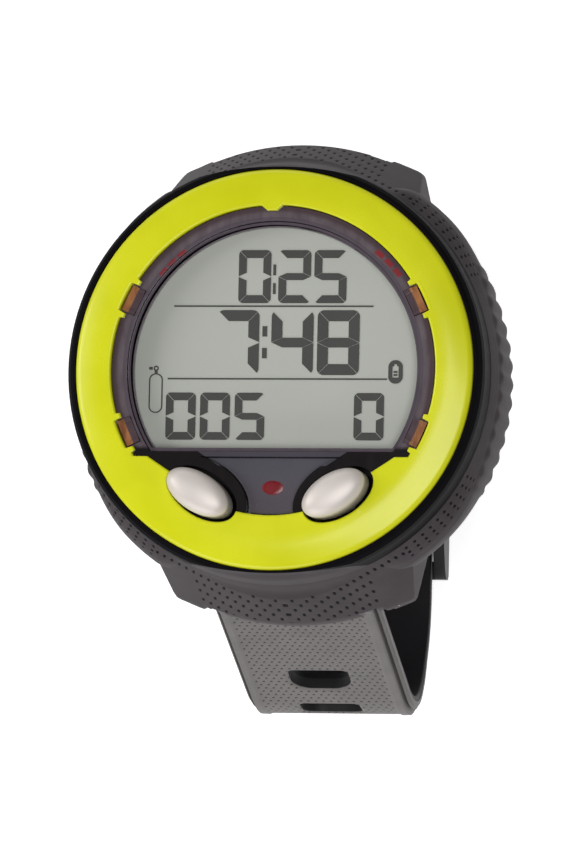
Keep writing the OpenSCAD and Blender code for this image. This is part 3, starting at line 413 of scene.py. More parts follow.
def bezel_yellow():
    low, high = screen(200, 203, 14), screen(209, 212, 26)
    made = Finish("bezel_plastic", low, coat_weight=0.12, coat_roughness=0.12, specular_ior_level=0.3)
    patch, grain = made.noise(16.0, 3.0), made.noise(0.2, 2.0)
    made.into("Base Color", made.mix(patch.step(0.3, 0.7), low, high))
    made.into("Roughness", patch * 0.08 + grain * 0.05 + 0.2)
    made.bump(grain, 0.0015)
    return made


def display_glass():
    made = Finish("lcd_glass", screen(176, 179, 171), roughness=0.5, specular_ior_level=0.15)
    patch, grain = made.noise(30.0, 2.0), made.noise(0.12, 1.0)
    made.into("Base Color", made.mix((patch * 0.8 + grain * 0.3).step(0.2, 0.9), screen(173, 176, 168),
                                     screen(181, 183, 176)))
    made.into("Roughness", grain * 0.1 + 0.45)
    return made


def clear_window():
    """Clear in the middle, tinted like the ring where the lens rests on its ledge."""
    made = Finish("clear_window", screen(20, 20, 20), specular_ior_level=0.35)
    x, y, _ = made.axes()
    reach = made.distance(x, y)
    rim = reach.step(25.75, 25.85).most(y.step(-14.0, -14.1))
    streak = made.noise(1.6, 4.0, (1, 3, 1))
    made.into("Base Color", made.mix(streak, screen(74, 66, 74), screen(92, 83, 90)))
    made.into("Alpha", rim * 0.98 + 0.02)
    made.into("Roughness", streak * 0.05 + 0.03)
    return made


def button_metal():
    """Satin metal paint."""
    made = Finish("button_steel", screen(206, 197, 191), metallic=0.25, specular_ior_level=0.6)
    patch, grain = made.noise(6.0, 3.0), made.noise(0.09, 2.0)
    made.into("Base Color", made.mix(patch, screen(204, 195, 189), screen(216, 208, 202)))
    made.into("Roughness", patch * 0.05 + grain * 0.1 + 0.42)
    made.bump(grain, 0.002)
    return made


def laminate():
    """Circuit board: green mask with paler, wandering tracks 1.3 mm apart."""
    made = Finish("board_laminate", screen(24, 84, 52), coat_weight=0.3, coat_roughness=0.2)
    x = made.axes()[0]
    wander = made.noise(6.0, 1.0)
    track = abs(((x + wander * 6.0) / 1.3).fract() - 0.5).step(0.12, 0.06)
    track = track * made.noise(9.0, 1.0).step(0.5, 0.55)
    made.into("Base Color", made.mix(track, screen(22, 82, 50), screen(60, 128, 74)))
    made.into("Roughness", made.noise(1.0) * 0.15 + 0.35)
    return made


def striped_elastomer():
    made = Finish("elastomer", screen(196, 180, 172))
    x = made.axes()[0]
    stripe = abs((x / 0.4).fract() - 0.5).step(0.3, 0.2)
    made.into("Base Color", made.mix(stripe, screen(204, 188, 182), screen(44, 42, 44)))
    made.into("Roughness", made.noise(0.6) * 0.2 + 0.5)
    return made


FINISHES = {
    "boot_rubber": boot_rubber(),
    "case_plastic": moulded("case_plastic", screen(10, 9, 11), screen(18, 16, 19), 0.5, 0.25, 0.006,
                            specular_ior_level=0.02),
    "bezel_plastic": bezel_yellow(),
    "smoke_plastic": smoked(),
    "amber_plastic": amber_clip(),
    "clear_window": clear_window(),
    "seal_rubber": moulded("seal_rubber", screen(104, 96, 103), screen(122, 114, 120), 0.6, 0.3),
    "lcd_glass": display_glass(),
    "segment_ink": moulded("segment_ink", screen(50, 51, 48), screen(60, 60, 57), 0.5, 0.2, 0.001),
    # The display frame's pale grey is partly its own colour and partly a painted reflection along the display
    # cavity's wall.
    "frame_plastic": moulded("frame_plastic", screen(112, 104, 112), screen(132, 124, 131), 0.5),
    "light_plastic": moulded("light_plastic", screen(214, 224, 220), screen(232, 238, 234), 0.35, 0.8),
    "elastomer": striped_elastomer(),
    "trim_plastic": trim_panel(),
    "red_light": moulded("red_light", screen(106, 16, 24), screen(120, 20, 30), 0.25, 0.4, 0.004, 2.0),
    "board_laminate": laminate(),
    "chip_plastic": moulded("chip_plastic", screen(28, 28, 32), screen(48, 48, 52), 0.55, 0.15),
    "ceramic_part": moulded("ceramic_part", screen(206, 200, 186), screen(224, 220, 208), 0.6, 0.3),
    "button_steel": button_metal(),
    "fine_steel": brushed("fine_steel", screen(150, 151, 154), screen(196, 196, 198), 0.34, (12, 1, 1)),
    "contact_brass": brushed("contact_brass", screen(176, 142, 78), screen(214, 182, 112), 0.3, (1, 12, 1)),
    "cell_steel": brushed("cell_steel", screen(160, 163, 167), screen(204, 206, 208), 0.26, (1, 1, 20)),
    "cover_plastic": moulded("cover_plastic", screen(20, 19, 22), screen(38, 36, 41), 0.55, 0.22, 0.03),
    "seal_red": moulded("seal_red", screen(118, 28, 26), screen(150, 44, 38), 0.5, 0.3),
    "strap_grey": strap_rubber(),
    "strap_black": moulded("strap_black", screen(8, 7, 9), screen(19, 17, 21), 0.55, 0.3, 0.02,
                           specular_ior_level=0.15),
    "buckle_plastic": moulded("buckle_plastic", screen(18, 17, 20), screen(36, 34, 38), 0.45, 0.25, 0.012),
}


def dress(piece, slot):
    piece.data.materials.clear()
    piece.data.materials.append(FINISHES[slot].material)


for part in frame["record"]["subparts"]:
    dress(frame["nodes"][part["node"]], part["material_slot"])


# ---------- face ----------

def in_oval(x, y, side, grow):
    """Inside a button's oval grown by so much; the right one is turned, not mirrored."""
    u, v = x - side * BUTTON[0], y - BUTTON[1]
    c, s = np.cos(side * BUTTON_TILT), np.sin(side * BUTTON_TILT)
    along, across = u * c + v * s, v * c - u * s
    return (along / (BUTTON_HALF[0] + grow)) ** 2 + (across / (BUTTON_HALF[1] + grow)) ** 2 < 1


def in_opening(x, y, grow=0.0):
    """Inside the bezel's opening: the round window cut straight below, the buttons' scallops, the two
    corners beside the display and the arc between the buttons."""
    reach, side = np.hypot(x, y), np.abs(x)
    inside = (reach < OPENING_R + grow) & (y > -LENS_FLAT - 1.0 - grow)
    corner = [(0.0, -LENS_FLAT), (24.4 + grow, -LENS_FLAT), (24.4 + grow, -15.58 - grow),
              (17.8 + grow, -18.58 - grow), (BUTTON[0], BUTTON[1]), (0.0, BUTTON[1])]
    wedge = np.ones_like(inside)
    for (ax, ay), (bx, by) in zip(corner, corner[1:] + corner[:1]):
        wedge &= (bx - ax) * (y - ay) - (by - ay) * (side - ax) <= 0
    inside |= wedge | ((reach < 26.1 + grow) & (side < BUTTON[0]) & (y < -LENS_FLAT))
    return inside | in_oval(x, y, 1, 0.5 + grow) | in_oval(x, y, -1, 0.5 + grow)


def edge_radius(turn, inside, low=22.0, high=31.0):
    """Along each ray, the radius at which a shape first ends."""
    reach = np.arange(low, high, 0.01)
    x, y = np.outer(np.cos(turn), reach), np.outer(np.sin(turn), reach)
    return reach[np.argmin(inside(x, y), axis=1)]


def make_bezel():
    """A ring whose section is carried round in 1800 steps: a crown that rises from the rim as a quarter sine,
    a rounded inner edge that follows the opening, with hooks at the clips and a small tab at twelve."""
    turn = np.linspace(0, 2 * PI, 1800, endpoint=False)
    inner = edge_radius(turn, in_opening)
    for clip in CLIP_TURNS:
        off = np.abs((turn - clip + PI) % (2 * PI) - PI) * OPENING_R
        inner += 0.55 * smoothstep(2.75, 2.6, off)
        inner -= 0.75 * smoothstep(0.55, 0.4, np.abs(off - 3.25))
    off = np.abs((turn - PI / 2 - 0.02 + PI) % (2 * PI) - PI) * OPENING_R
    inner -= 1.0 * np.clip((2.0 - off) / 1.1, 0, 1)
    rows = [(0, -1.6), (0, -0.6), (0.06, -0.26), (0.2, 0.04), (0.45, 0.28), (0.8, 0.46)]
    section = [(np.full_like(turn, BEZEL_R - r), z) for r, z in rows]
    for share in np.linspace(0.06, 1, 14):
        crown = np.maximum(BEZEL_R - 0.8 - share * 5.4, inner + 0.62)
        section.append((crown, 0.46 + 0.94 * np.sin(share * PI / 2)))
    section += [(np.maximum(r, inner + 0.5), 1.4) for r in (29.0, 27.6)] + [(inner + 0.46, 1.4)]
    for bend in np.radians([0, 22, 45, 68, 90]):
        section.append((inner + 0.4 * (1 - np.sin(bend)), 1.0 + 0.4 * np.cos(bend)))
    section += [(inner, 0.2), (inner, -1.6)]
    faces = grid_faces(len(section), len(turn), True, True)
    piece = solid("bezel_ring", around(turn, section), faces, "case", "bezel_plastic")
    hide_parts("bezel")
    return sharpened(piece, 50)


def make_button(side, name):
    """Oval dome: level curves are ovals shrinking as the height follows 4.6 - 1.1 q^2 - 1.0 q^8 of the share
    q of the half width, closed below by a hollow skirt."""
    turn = np.linspace(0, 2 * PI, 120, endpoint=False)
    rings = [(share, BUTTON_TOP - 1.1 * share ** 2 - 1.0 * share ** 8) for share in np.linspace(0.03, 1, 30)]
    rings += [(1.0, 2.3), (1.0, -2.6), (0.86, -2.6), (0.86, -1.0), (0.32, -1.0)]
    points = []
    for share, height in rings:
        points.append(np.stack([share * CAP_HALF[0] * np.cos(turn), share * CAP_HALF[1] * np.sin(turn),
                                np.full_like(turn, height)], 1))
    points = np.concatenate(points + [np.array([[0, 0, BUTTON_TOP], [0, 0, -1.0]])])
    c, s = np.cos(side * BUTTON_TILT), np.sin(side * BUTTON_TILT)
    x, y = points[:, 0] * c - points[:, 1] * s, points[:, 0] * s + points[:, 1] * c
    points[:, 0], points[:, 1] = x + side * BUTTON[0] + CAP_SHIFT[0], y + BUTTON[1] + CAP_SHIFT[1]
    count, last = len(turn), (len(rings) - 1) * len(turn)
    faces = grid_faces(len(rings), count, False, True).tolist()
    top, low = len(rings) * count, len(rings) * count + 1
    faces += [[top, k, (k + 1) % count] for k in range(count)]
    faces += [[low, last + (k + 1) % count, last + k] for k in range(count)]
    piece = solid(name + "_dome", points, faces, name, "button_steel")
    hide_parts(name + "_cap")
    return sharpened(piece, 60)


def make_oval():
    """Red window on the trim panel: an oval whose height falls off with the fourth power of its radius."""
    turn = np.linspace(0, 2 * PI, 60, endpoint=False)
    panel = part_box("lower_trim_panel")[1][2] / MM - FACE_Z
    share = np.array([0.02, 0.2, 0.4, 0.6, 0.75, 0.88, 0.96, 1.0])
    height = np.append(panel + 0.14 - 0.1 * share ** 4, panel - 0.15)
    share = np.append(share, 1.0)
    x, y = (OVAL[k] + OVAL_HALF[k] * np.outer(share, wave(turn)) for k, wave in enumerate((np.cos, np.sin)))
    points = np.stack([x, y, np.repeat(height[:, None], len(turn), 1)], 2).reshape(-1, 3)
    points = np.concatenate([points, [[*OVAL, height[0]], [*OVAL, height[-1]]]])
    count, last = len(turn), 8 * len(turn)
    faces = grid_faces(9, count, False, True).tolist()
    faces += [[9 * count, k, (k + 1) % count] for k in range(count)]
    faces += [[9 * count + 1, last + (k + 1) % count, last + k] for k in range(count)]
    return sharpened(solid("status_window", points, faces, "case", "red_light"), 60)


# ---------- boot ----------

def boot_outline():
    """Polar outline of the apron and lugs: an arc across twelve o'clock with cut-back lug corners; further
    round, the radius is nought so that the round body takes over."""
    x = np.linspace(-APRON_HALF, APRON_HALF, 180)
    bow = np.stack([x, np.sqrt(APRON_R ** 2 - x * x)], 1)
    corners = np.array([[APRON_HALF, 40.28], [16.7, 40.6], [17.5, 40.35], [21.0, 38.9], [21.65, 38.5],
                        [21.95, 37.9], [22.95, 33.6], [24.0, 29.0]])
    side = np.concatenate([np.linspace(a, b, 20) for a, b in zip(corners[:-1], corners[1:])])
    upper = np.concatenate([side[::-1] * (-1, 1), bow, side])
    return np.arctan2(upper[:, 1], upper[:, 0]), np.hypot(*upper.T)


def circle_dots(turn, pitch, mm_per_degree, across, radius):
    """The spots of the material as depths: 1 in a spot's middle, 0 at its edge."""
    u = ((turn / pitch) % 1 - 0.5) * pitch * mm_per_degree
    return np.clip(1.25 - np.hypot(u, across) / radius, 0, 1)


def boot_radius(turn, z):
    """Radius of the boot's outer skin below the lip: the larger of the round body, which swells beside the
    lugs, and the flared apron, whose band under the lip is hollow; plus the grip ribs, less the dimples."""
    angle, reach = boot_outline()
    order = np.argsort(angle)
    fold = np.mod(np.where(np.sin(turn) < 0, -turn, turn), 2 * PI)
    outline = np.interp(fold, angle[order], reach[order], left=0, right=0)
    side = np.degrees(np.abs(np.arctan2(np.sin(turn), np.abs(np.cos(turn)))))
    body = np.interp(-z, [9.2, 10.2, 12.2, 14.5, 17.2, 22, 26, 28.4, 30, 30.7, 31],
                     [37.7, 38.0, 38.5, 38.8, 38.9, 38.9, 38.7, 38.4, 37.8, 37.2, 36.5])
    swell = np.interp(-z, [9.2, 10, 11.5, 13, 15, 17, 20, 24, 28.4, 31],
                      [0, 0.2, 0.6, 0.85, 1, 0.98, 0.8, 0.5, 0.2, 0])
    body = body + SWELL * swell * smoothstep(12, 46, side) * smoothstep(64, 55, side)
    bow = np.clip(np.abs(outline * np.cos(turn)) / APRON_HALF, 0, 1) ** 2
    crease = -14.8 + 3.6 * bow
    q = np.clip((LIP_Z - z) / (LIP_Z - crease), 0, 1)
    flare = LIP_R + 0.1 + (LIP_Z - z) * 0.37 - 0.35 * (1 - bow) * 6.75 * q * q * (1 - q)
    apron = np.minimum(flare, outline - 1.2 * smoothstep(-29.6, -31.0, z) ** 2)
    radius = np.maximum(body, apron)
    wave = (0.5 + 0.5 * np.cos(side / GRIP_PITCH * 2 * PI)) ** 0.7
    radius = radius + GRIP_HEIGHT * wave * (smoothstep(31.5, 29.0, side) * smoothstep(-12.6, -13.8, z)
                                            * smoothstep(-27.8, -26.6, z))
    x, y, turned = np.abs(radius * np.cos(turn)), np.abs(radius * np.sin(turn)), 90 - side
    row = y + x * ROW_SLOPE - (BOOT_START[1] + BOOT_START[0] * ROW_SLOPE)
    field = ((y > np.where(x < 4.1, 39.55, 38.95)) | (row > -0.34)) & (radius < 43.2)
    field &= (x < 16.5) | ((row < 0.34) & (x < 22.95))
    depth = dot_depth(x - (BOOT_START[0] - BOOT_PITCH[0] / 2), y - (BOOT_START[1] - BOOT_PITCH[1] / 2),
                      *BOOT_PITCH, BOOT_DOT, BOOT_SQUEEZE) * (field & (z < LIP_Z - 0.4))
    wall = (((z - DASH_TOP) / DASH_PITCH) % 1 - 0.5) * DASH_PITCH * 1.3
    column = turned - (DASH_START - DASH_TURN / 2)
    depth = depth + circle_dots(column, DASH_TURN, 0.68, wall, 0.32) * (
        (column > 0) & (turned < 63.2) & (z < DASH_TOP) & (z > DASH_TOP - 3 * DASH_PITCH))
    return radius - 0.22 * np.minimum(depth, 1)


def scoop_rows(turn, count):
    """Skin above the lip's underside: in the two thumb scoops it rises along the scoop's wall and comes down
    as a hollow curve; elsewhere it lies flat under the lip."""
    lift = SCOOP_R - SCOOP_IN
    wall = -lift * np.abs(np.sin(turn)) + np.sqrt(SCOOP_R ** 2 - (lift * np.cos(turn)) ** 2)
    top = np.interp(wall, [36.5, 36.75, 37.3, 37.7], [-1.2, -2.2, -4.6, LIP_Z])
    start = np.where(wall < 37.65, wall, 36.6)
    rows = []
    for share in np.linspace(0, 1, count, endpoint=False):
        z = top + (LIP_Z - top) * share - 0.002 * (count - share * count)
        skin = np.interp(-z, [1.2, 2.2, 4.6, 9.2], [36.5, 36.75, 37.3, 37.7])
        rows.append((start + (skin - start) * min(1.0, share * 3), z))
    return rows


def make_boot():
    """The outer skin on a grid of turn and height, its foot and its bore; the strap's pockets are cut out."""
    fine = np.arcsin(np.linspace(-24.6, 24.6, 250) / 42.0)
    side = np.linspace(-0.94, 0.94, 150)
    turn = np.unique(np.round(np.mod(np.concatenate([PI / 2 - fine, 3 * PI / 2 - fine, side, PI + side]),
                                     2 * PI), 6))
    rings = scoop_rows(turn, 10)
    height = np.concatenate([np.linspace(LIP_Z, -14.6, 28)[:-1], np.linspace(-14.6, -24.2, 38)[:-1],
                             np.linspace(-24.2, FOOT_Z, 6)])
    rings += [(boot_radius(turn, np.full_like(turn, z)), z) for z in height]
    brow = np.abs(rings[-1][0] * np.cos(turn)) < 17.9
    for z in (-28.42, -29.0, -29.6, -29.9, -30.2, -30.5, -30.8, BACK_Z):
        skin = boot_radius(turn, np.full_like(turn, z))
        rings.append((np.where(brow, BAR[0] / np.abs(np.sin(turn)), skin), z))      # set back to the bar
    rings += [(34.0, BACK_Z), (32.7, BACK_Z), (32.7, -30.0), (35.05, -30.0), (35.05, LIP_Z), (36.2, LIP_Z)]
    faces = grid_faces(len(rings), len(turn), True, True)
    piece = solid("boot_skin", around(turn, rings), faces, "case", "boot_rubber")
    for side in (-1, 1):
        cut_box(piece, *POCKET, side)
    piece.data.shade_smooth()
    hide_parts("wrist_boot")
    return sharpened(piece, 38)


def cut_box(piece, low, high, side):
    """Takes a box between two corners, mirrored in Y where side is -1, out of a piece."""
    low, high = np.array(low, float), np.array(high, float)
    if side < 0:
        low[1], high[1] = -high[1], -low[1]
    corner = np.stack(np.meshgrid(*zip(low, high), indexing="ij"), 3).reshape(-1, 3)
    mesh = bpy.data.meshes.new("cutter")
    mesh.from_pydata(((corner + (0, 0, FACE_Z)) * MM).tolist(), [],
                     [[0, 1, 3, 2], [4, 6, 7, 5], [0, 4, 5, 1], [2, 3, 7, 6], [0, 2, 6, 4], [1, 5, 7, 3]])
    cutter = bpy.data.objects.new("cutter", mesh)
    bpy.context.scene.collection.objects.link(cutter)
    cut = piece.modifiers.new("cut", "BOOLEAN")
    cut.operation, cut.solver, cut.object = "DIFFERENCE", "EXACT", cutter
    bpy.context.view_layer.update()
    made = bpy.data.meshes.new_from_object(piece.evaluated_get(bpy.context.evaluated_depsgraph_get()))
    piece.modifiers.clear()
    piece.data = made
    bpy.data.objects.remove(cutter)


# ---------- strap ----------

def strap_path(s, layer):
    """Centre line of a strap layer at distance s from the spring bar, on the twelve o'clock side: a straight
    run, a bend of constant radius and the flat. Gives y, z, the heading and where the flat starts."""
    centre, bend_y = layer[0] + LOOP_R, layer[1]
    reach = np.hypot(bend_y - BAR[0], centre - BAR[1])
    heading = np.arctan2(centre - BAR[1], bend_y - BAR[0]) + np.arcsin(MID_R / reach)
    run = np.sqrt(reach ** 2 - MID_R ** 2)
    bend = MID_R * (heading + PI)
    turned = np.clip((s - run) / MID_R, 0, heading + PI)
    start = np.minimum(s, run)
    bent = s > run
    y = np.where(bent, bend_y + MID_R * np.cos(heading + PI / 2 - turned), BAR[0] + start * np.cos(heading))
    z = np.where(bent, centre + MID_R * np.sin(heading + PI / 2 - turned), BAR[1] + start * np.sin(heading))
    return y - np.maximum(s - run - bend, 0), z, heading - turned, run + bend


def slot_distance(x, s, middle):
    """Signed distance to a slot's outline, a rectangle with small corners on the lug side and wide ones on
    the other, and the way out of it."""
    px, ps = x, s - middle
    corner = np.where(ps < 0, *SLOT_CORNERS)
    qx, qs = np.abs(px) - SLOT_HALF[0] + corner, np.abs(ps) - SLOT_HALF[1] + corner
    out = np.hypot(np.maximum(qx, 0), np.maximum(qs, 0))
    distance = out + np.minimum(np.maximum(qx, qs), 0) - corner
    round_off = (qx > 0) & (qs > 0)
    way_x = np.where(round_off, qx / np.maximum(out, 1e-9), np.where(qx > qs, 1.0, 0.0)) * np.sign(px)
    way_s = np.where(round_off, qs / np.maximum(out, 1e-9), np.where(qx > qs, 0.0, 1.0)) * np.sign(ps)
    return distance, way_x, way_s


def sheet(x, s, slots, upper, lower, window=None):
    """Closed slab over a grid of x and s. Cells whose middle lies in a slot are left out, the points round
    them move onto the slot's outline, and a wall joins the upper and lower faces along every open edge. A
    window is a half width and the s from which it is open to the end. The map is x and s, with a mark added
    to s on the underside."""
    rows, columns = x.shape
    x, s = x.copy(), s.copy()
    mid_x = (x[1:, 1:] + x[:-1, :-1] + x[1:, :-1] + x[:-1, 1:]) / 4
    mid_s = (s[1:, 1:] + s[:-1, :-1] + s[1:, :-1] + s[:-1, 1:]) / 4
    kept = np.ones(mid_x.shape, bool)
    for middle in slots:
        kept &= slot_distance(mid_x, mid_s, middle)[0] > 0
    if window:
        kept &= (np.abs(mid_x) > window[0]) | (mid_s < window[1])
    used = np.zeros((rows, columns), int)
    for di in (0, 1):
        for dj in (0, 1):
            used[di:rows - 1 + di, dj:columns - 1 + dj] += kept
    for middle in slots:
        distance, way_x, way_s = slot_distance(x, s, middle)
        rim = (used > 0) & (used < 4) & (np.abs(distance) < 0.6)
        x, s = np.where(rim, x - distance * way_x, x), np.where(rim, s - distance * way_s, s)
    number = np.arange(rows * columns).reshape(rows, columns)
    a, b, c, d = number[:-1, :-1], number[1:, :-1], number[1:, 1:], number[:-1, 1:]
    quads = np.stack([a[kept], b[kept], c[kept], d[kept]], 1)
    shift = rows * columns
    edges = np.concatenate([quads[:, [0, 1]], quads[:, [1, 2]], quads[:, [2, 3]], quads[:, [3, 0]]])
    key = np.sort(edges, 1) @ np.array([shift, 1])
    _, first, count = np.unique(key, return_index=True, return_counts=True)
    rim = edges[first[count == 1]]
    walls = np.stack([rim[:, 1], rim[:, 0], rim[:, 0] + shift, rim[:, 1] + shift], 1)
    points = np.concatenate([upper(x, s), lower(x, s)])
    faces = np.concatenate([quads, quads[:, ::-1] + shift, walls])
    wanted = np.unique(faces)
    again = np.zeros(2 * shift, int)
    again[wanted] = np.arange(len(wanted))
    uv = np.tile(np.stack([x.ravel(), s.ravel()], 1), (2, 1))
    near = np.zeros(x.shape, bool)
    for middle in slots:
        near |= slot_distance(x, s, middle)[0] < 0.6
    uv[shift:, 1] += np.where(near, SLOT_MARK, UNDER_MARK).ravel()
    return points[wanted], again[faces], uv[wanted]


def off_path(x, s, layer, offset, mirror):
    """Points at an offset from a strap's centre line towards its outer face. The margins outside the dimpled
    field narrow between 74 and 91 mm below the face, where the strap runs into the keepers and the buckle."""
    y, z, heading, _ = strap_path(s, layer)
    half = (STRAP_W - (STRAP_W - STRAP_LOW_W) * np.clip((-74 - z) / 17, 0, 1)) / 2
    side = np.abs(x)
    narrow = np.minimum(side, FIELD_HALF) + np.maximum(side - FIELD_HALF, 0) * (half - FIELD_HALF) / (
        STRAP_W / 2 - FIELD_HALF)
    y, z = y + offset * np.cos(heading + PI / 2), z + offset * np.sin(heading + PI / 2)
    return np.stack([(np.sign(x) * narrow).ravel(), mirror * y.ravel(), z.ravel()], 1)


def strap_grid(last, step, tail, start, half):
    """Grid of x and s from the start to the end, which is rounded off with radius 0.85 widths on a tail. The
    columns stand closer beside the field, where the sides slant."""
    inner = np.linspace(0, 13.65, int(round(13.65 / step)) + 1)
    margin = np.array([13.9, 14.05, 14.2, 14.35, 14.5, 14.6, 14.7, 14.85, 15.0, 15.1, 15.2])
    right = np.concatenate([inner, margin[margin < half], [half]])
    x = np.concatenate([-right[:0:-1], right])
    s = np.linspace(start, last, int(round((last - start) / step)) + 1)
    grid_x, grid_s = np.meshgrid(x, s)
    if tail:
        radius = 0.85 * STRAP_W
        back = radius - np.sqrt(radius ** 2 - grid_x ** 2)
        grid_s = grid_s - np.clip((grid_s - (last - 12)) / 12, 0, 1) * back
    return grid_x, grid_s


def make_strap(name, body, layer, end_y, mirror, slots, pinned):
    """Grey outer strap with a dimpled field between margins with slanted, grooved sides, and its black
    lining. A tail is rounded off; a pinned end is rolled round the buckle's pin and open in its middle."""
    flat = float(strap_path(np.zeros(1), layer)[3]) + layer[1]
    pin_s = flat - PIN_Y if pinned else 1e6

    def relief(x, s):
        """Height of the outer face: the field lies 0.2 lower than the margins' crests; from 13.9 mm out the
        side slants down by 2.5 with a groove half way."""
        side = np.abs(x)
        height = np.interp(
            side, [0, FIELD_HALF - 0.05, FIELD_HALF + 0.4, 13.9, 14.05, 14.25, 14.4, 14.55, 14.7, 14.9, 15.2],
            [1.6, 1.6, 1.8, 1.75, 1.35, 0.45, 0.35, 0.45, 0.75, 0.2, -0.75])
        height -= 0.2 * dot_depth(x, s, *STRAP_PITCH, STRAP_DOT + 0.04) * (side < FIELD_HALF) * (s > 4)
        for middle in slots:
            height -= 0.3 * smoothstep(0.5, 0.0, slot_distance(x, s, middle)[0])
        return height

    def eye(s):
        """Half thickness of the rolled ends: circles round the spring bar and the pin."""
        return np.maximum(np.sqrt(np.clip(EYE_R ** 2 - s ** 2, 0, None)),
                          np.sqrt(np.clip(PIN_EYE_R ** 2 - (s - pin_s) ** 2, 0, None)))

    def upper(x, s):
        rolled = (s < 0.2) | (s > pin_s)
        height = relief(x, s)
        round_end = np.maximum(eye(s) - np.where(np.abs(x) > 13.8, 1.75 - height, 0), -eye(s) + 0.05)
        return off_path(x, s, layer, np.where(rolled, round_end, np.maximum(round_end, height)), mirror)

    def lower(x, s):
        rolled = (s < 0.2) | (s > pin_s)
        height = np.where(rolled, -eye(s), np.minimum(-eye(s), LINING_T - STRAP_T / 2))
        return off_path(x, s, layer, height, mirror)

    x, s = strap_grid(pin_s + PIN_EYE_R if pinned else flat - end_y, 0.35, not pinned, -EYE_R, STRAP_W / 2)
    window = (WINDOW_HALF, pin_s - 2.6) if pinned else None
    points, faces, uv = sheet(x, s, slots, upper, lower, window)
    outer = solid(name + "_rubber", points, faces, body, "strap_grey", uv)
    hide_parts(name)
    sharpened(outer, 42)

    def inner_low(x, s):
        rounding = 0.35 * np.clip((np.abs(x) - STRAP_W / 2 + 0.6) / 0.5, 0, 1) ** 2
        return off_path(x, s, layer, -STRAP_T / 2 + rounding, mirror)

    x, s = strap_grid(flat - end_y, 0.7, not pinned, EYE_R + 0.6, STRAP_W / 2 - 0.15)
    points, faces, uv = sheet(x, s, slots, lambda x, s: off_path(x, s, layer, LINING_T - STRAP_T / 2, mirror),
                              inner_low)
    inner = solid(name + "_black", points, faces, body, "strap_black", uv)
    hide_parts(name + "_lining")
    return sharpened(inner, 42)


def make_keeper(node, body):
    """Rubber loop: a slab section, crowned outside between two raised edges, carried round a rectangle with
    rounded corners."""
    low, high = (np.array(v) * 1000 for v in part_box(node))
    middle, half = (low + high) / 2 - (0, 0, FACE_Z), (high - low) / 2
    bend, thick = 1.5, 1.7
    reach = half[[0, 2]] - thick / 2 - bend
    corner = np.radians(np.linspace(0, 90, 9))
    path = []
    for quarter, (sx, sz) in enumerate(((1, 1), (-1, 1), (-1, -1), (1, -1))):
        out = np.stack([np.cos(corner + quarter * PI / 2), np.sin(corner + quarter * PI / 2)], 1)
        path.append(np.concatenate([reach * (sx, sz) + bend * out, out], 1))
    path = np.concatenate(path)
    across = np.array([-1, -0.97, -0.9, -0.8, -0.7, -0.62, -0.3, 0, 0.3, 0.62, 0.7, 0.8, 0.9, 0.97, 1])
    crown = np.interp(np.abs(across), [0, 0.3, 0.62, 0.7, 0.8, 0.9, 0.97, 1],
                      [0.8, 0.77, 0.62, 0.6, 0.85, 0.82, 0.6, 0.3])
    wide = half[1]
    inside = [[wide, -0.6], [wide - 0.2, -0.85], [-wide + 0.2, -0.85], [-wide, -0.6]]
    section = np.concatenate([np.stack([across * wide, crown], 1), inside])
    x = path[:, None, 0] + path[:, None, 2] * section[None, :, 1]
    z = path[:, None, 1] + path[:, None, 3] * section[None, :, 1]
    y = np.broadcast_to(section[None, :, 0], x.shape)
    points = np.stack([x, y, z], 2).reshape(-1, 3) + middle
    faces = grid_faces(len(path), len(section), True, True)
    piece = solid(node + "_loop", points, faces, body, "strap_black")
    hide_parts(node)
    return sharpened(piece, 45)


def copied(node, body, slot, name, flat=0.0):
    """A copy of a rigid solid's mesh with its doubles merged, and faces that meet at less than so many
    degrees joined."""
    mesh = frame["nodes"][node].data.copy()
    work = bmesh.new()
    work.from_mesh(mesh)
    bmesh.ops.remove_doubles(work, verts=work.verts, dist=2e-6)
    if flat:
        bmesh.ops.dissolve_limit(work, angle_limit=np.radians(flat), verts=work.verts, edges=work.edges)
    work.to_mesh(mesh)
    work.free()
    piece = bpy.data.objects.new(name, mesh)
    bpy.context.scene.collection.objects.link(piece)
    dress(piece, slot)
    mesh.shade_smooth()
    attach(piece, body)
    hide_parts(node)
    return piece


def rounded(node, body, slot, width_mm, name):
    """A rigid solid with its edges broken."""
    piece = copied(node, body, slot, name, 0.5)
    bevel = piece.modifiers.new("broken edges", "BEVEL")
    bevel.width, bevel.segments = width_mm * MM, 2
    bevel.limit_method, bevel.angle_limit = "ANGLE", np.radians(35)
    return sharpened(piece, 35)


def make_coil(name):
    """A button's return spring, copied with a mesh of its own."""
    piece = sharpened(copied(name + "_spring", "case", "fine_steel", name + "_coil"), 50)
    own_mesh(piece)


make_bezel()
make_button(-1, "left_button")
make_button(1, "right_button")
make_coil("left_button")
make_coil("right_button")
make_oval()
make_boot()
make_strap("lower_strap", "lower_strap", OUTER_LAYER, TAIL_END, -1,
           [SLOT_START + SLOT_PITCH * k for k in range(SLOT_COUNT)], False)
make_strap("upper_strap", "upper_strap", INNER_LAYER, PIN_Y + 2 * PIN_EYE_R - 0.1, 1, [], True)
make_keeper("fixed_keeper", "upper_strap")
make_keeper("sliding_keeper", "sliding_keeper")
rounded("buckle_frame", "buckle_frame", "buckle_plastic", 0.35, "buckle_frame_edged")
rounded("buckle_tongue", "buckle_tongue", "fine_steel", 0.2, "buckle_tongue_edged")


# ---------- floor, light and camera ----------

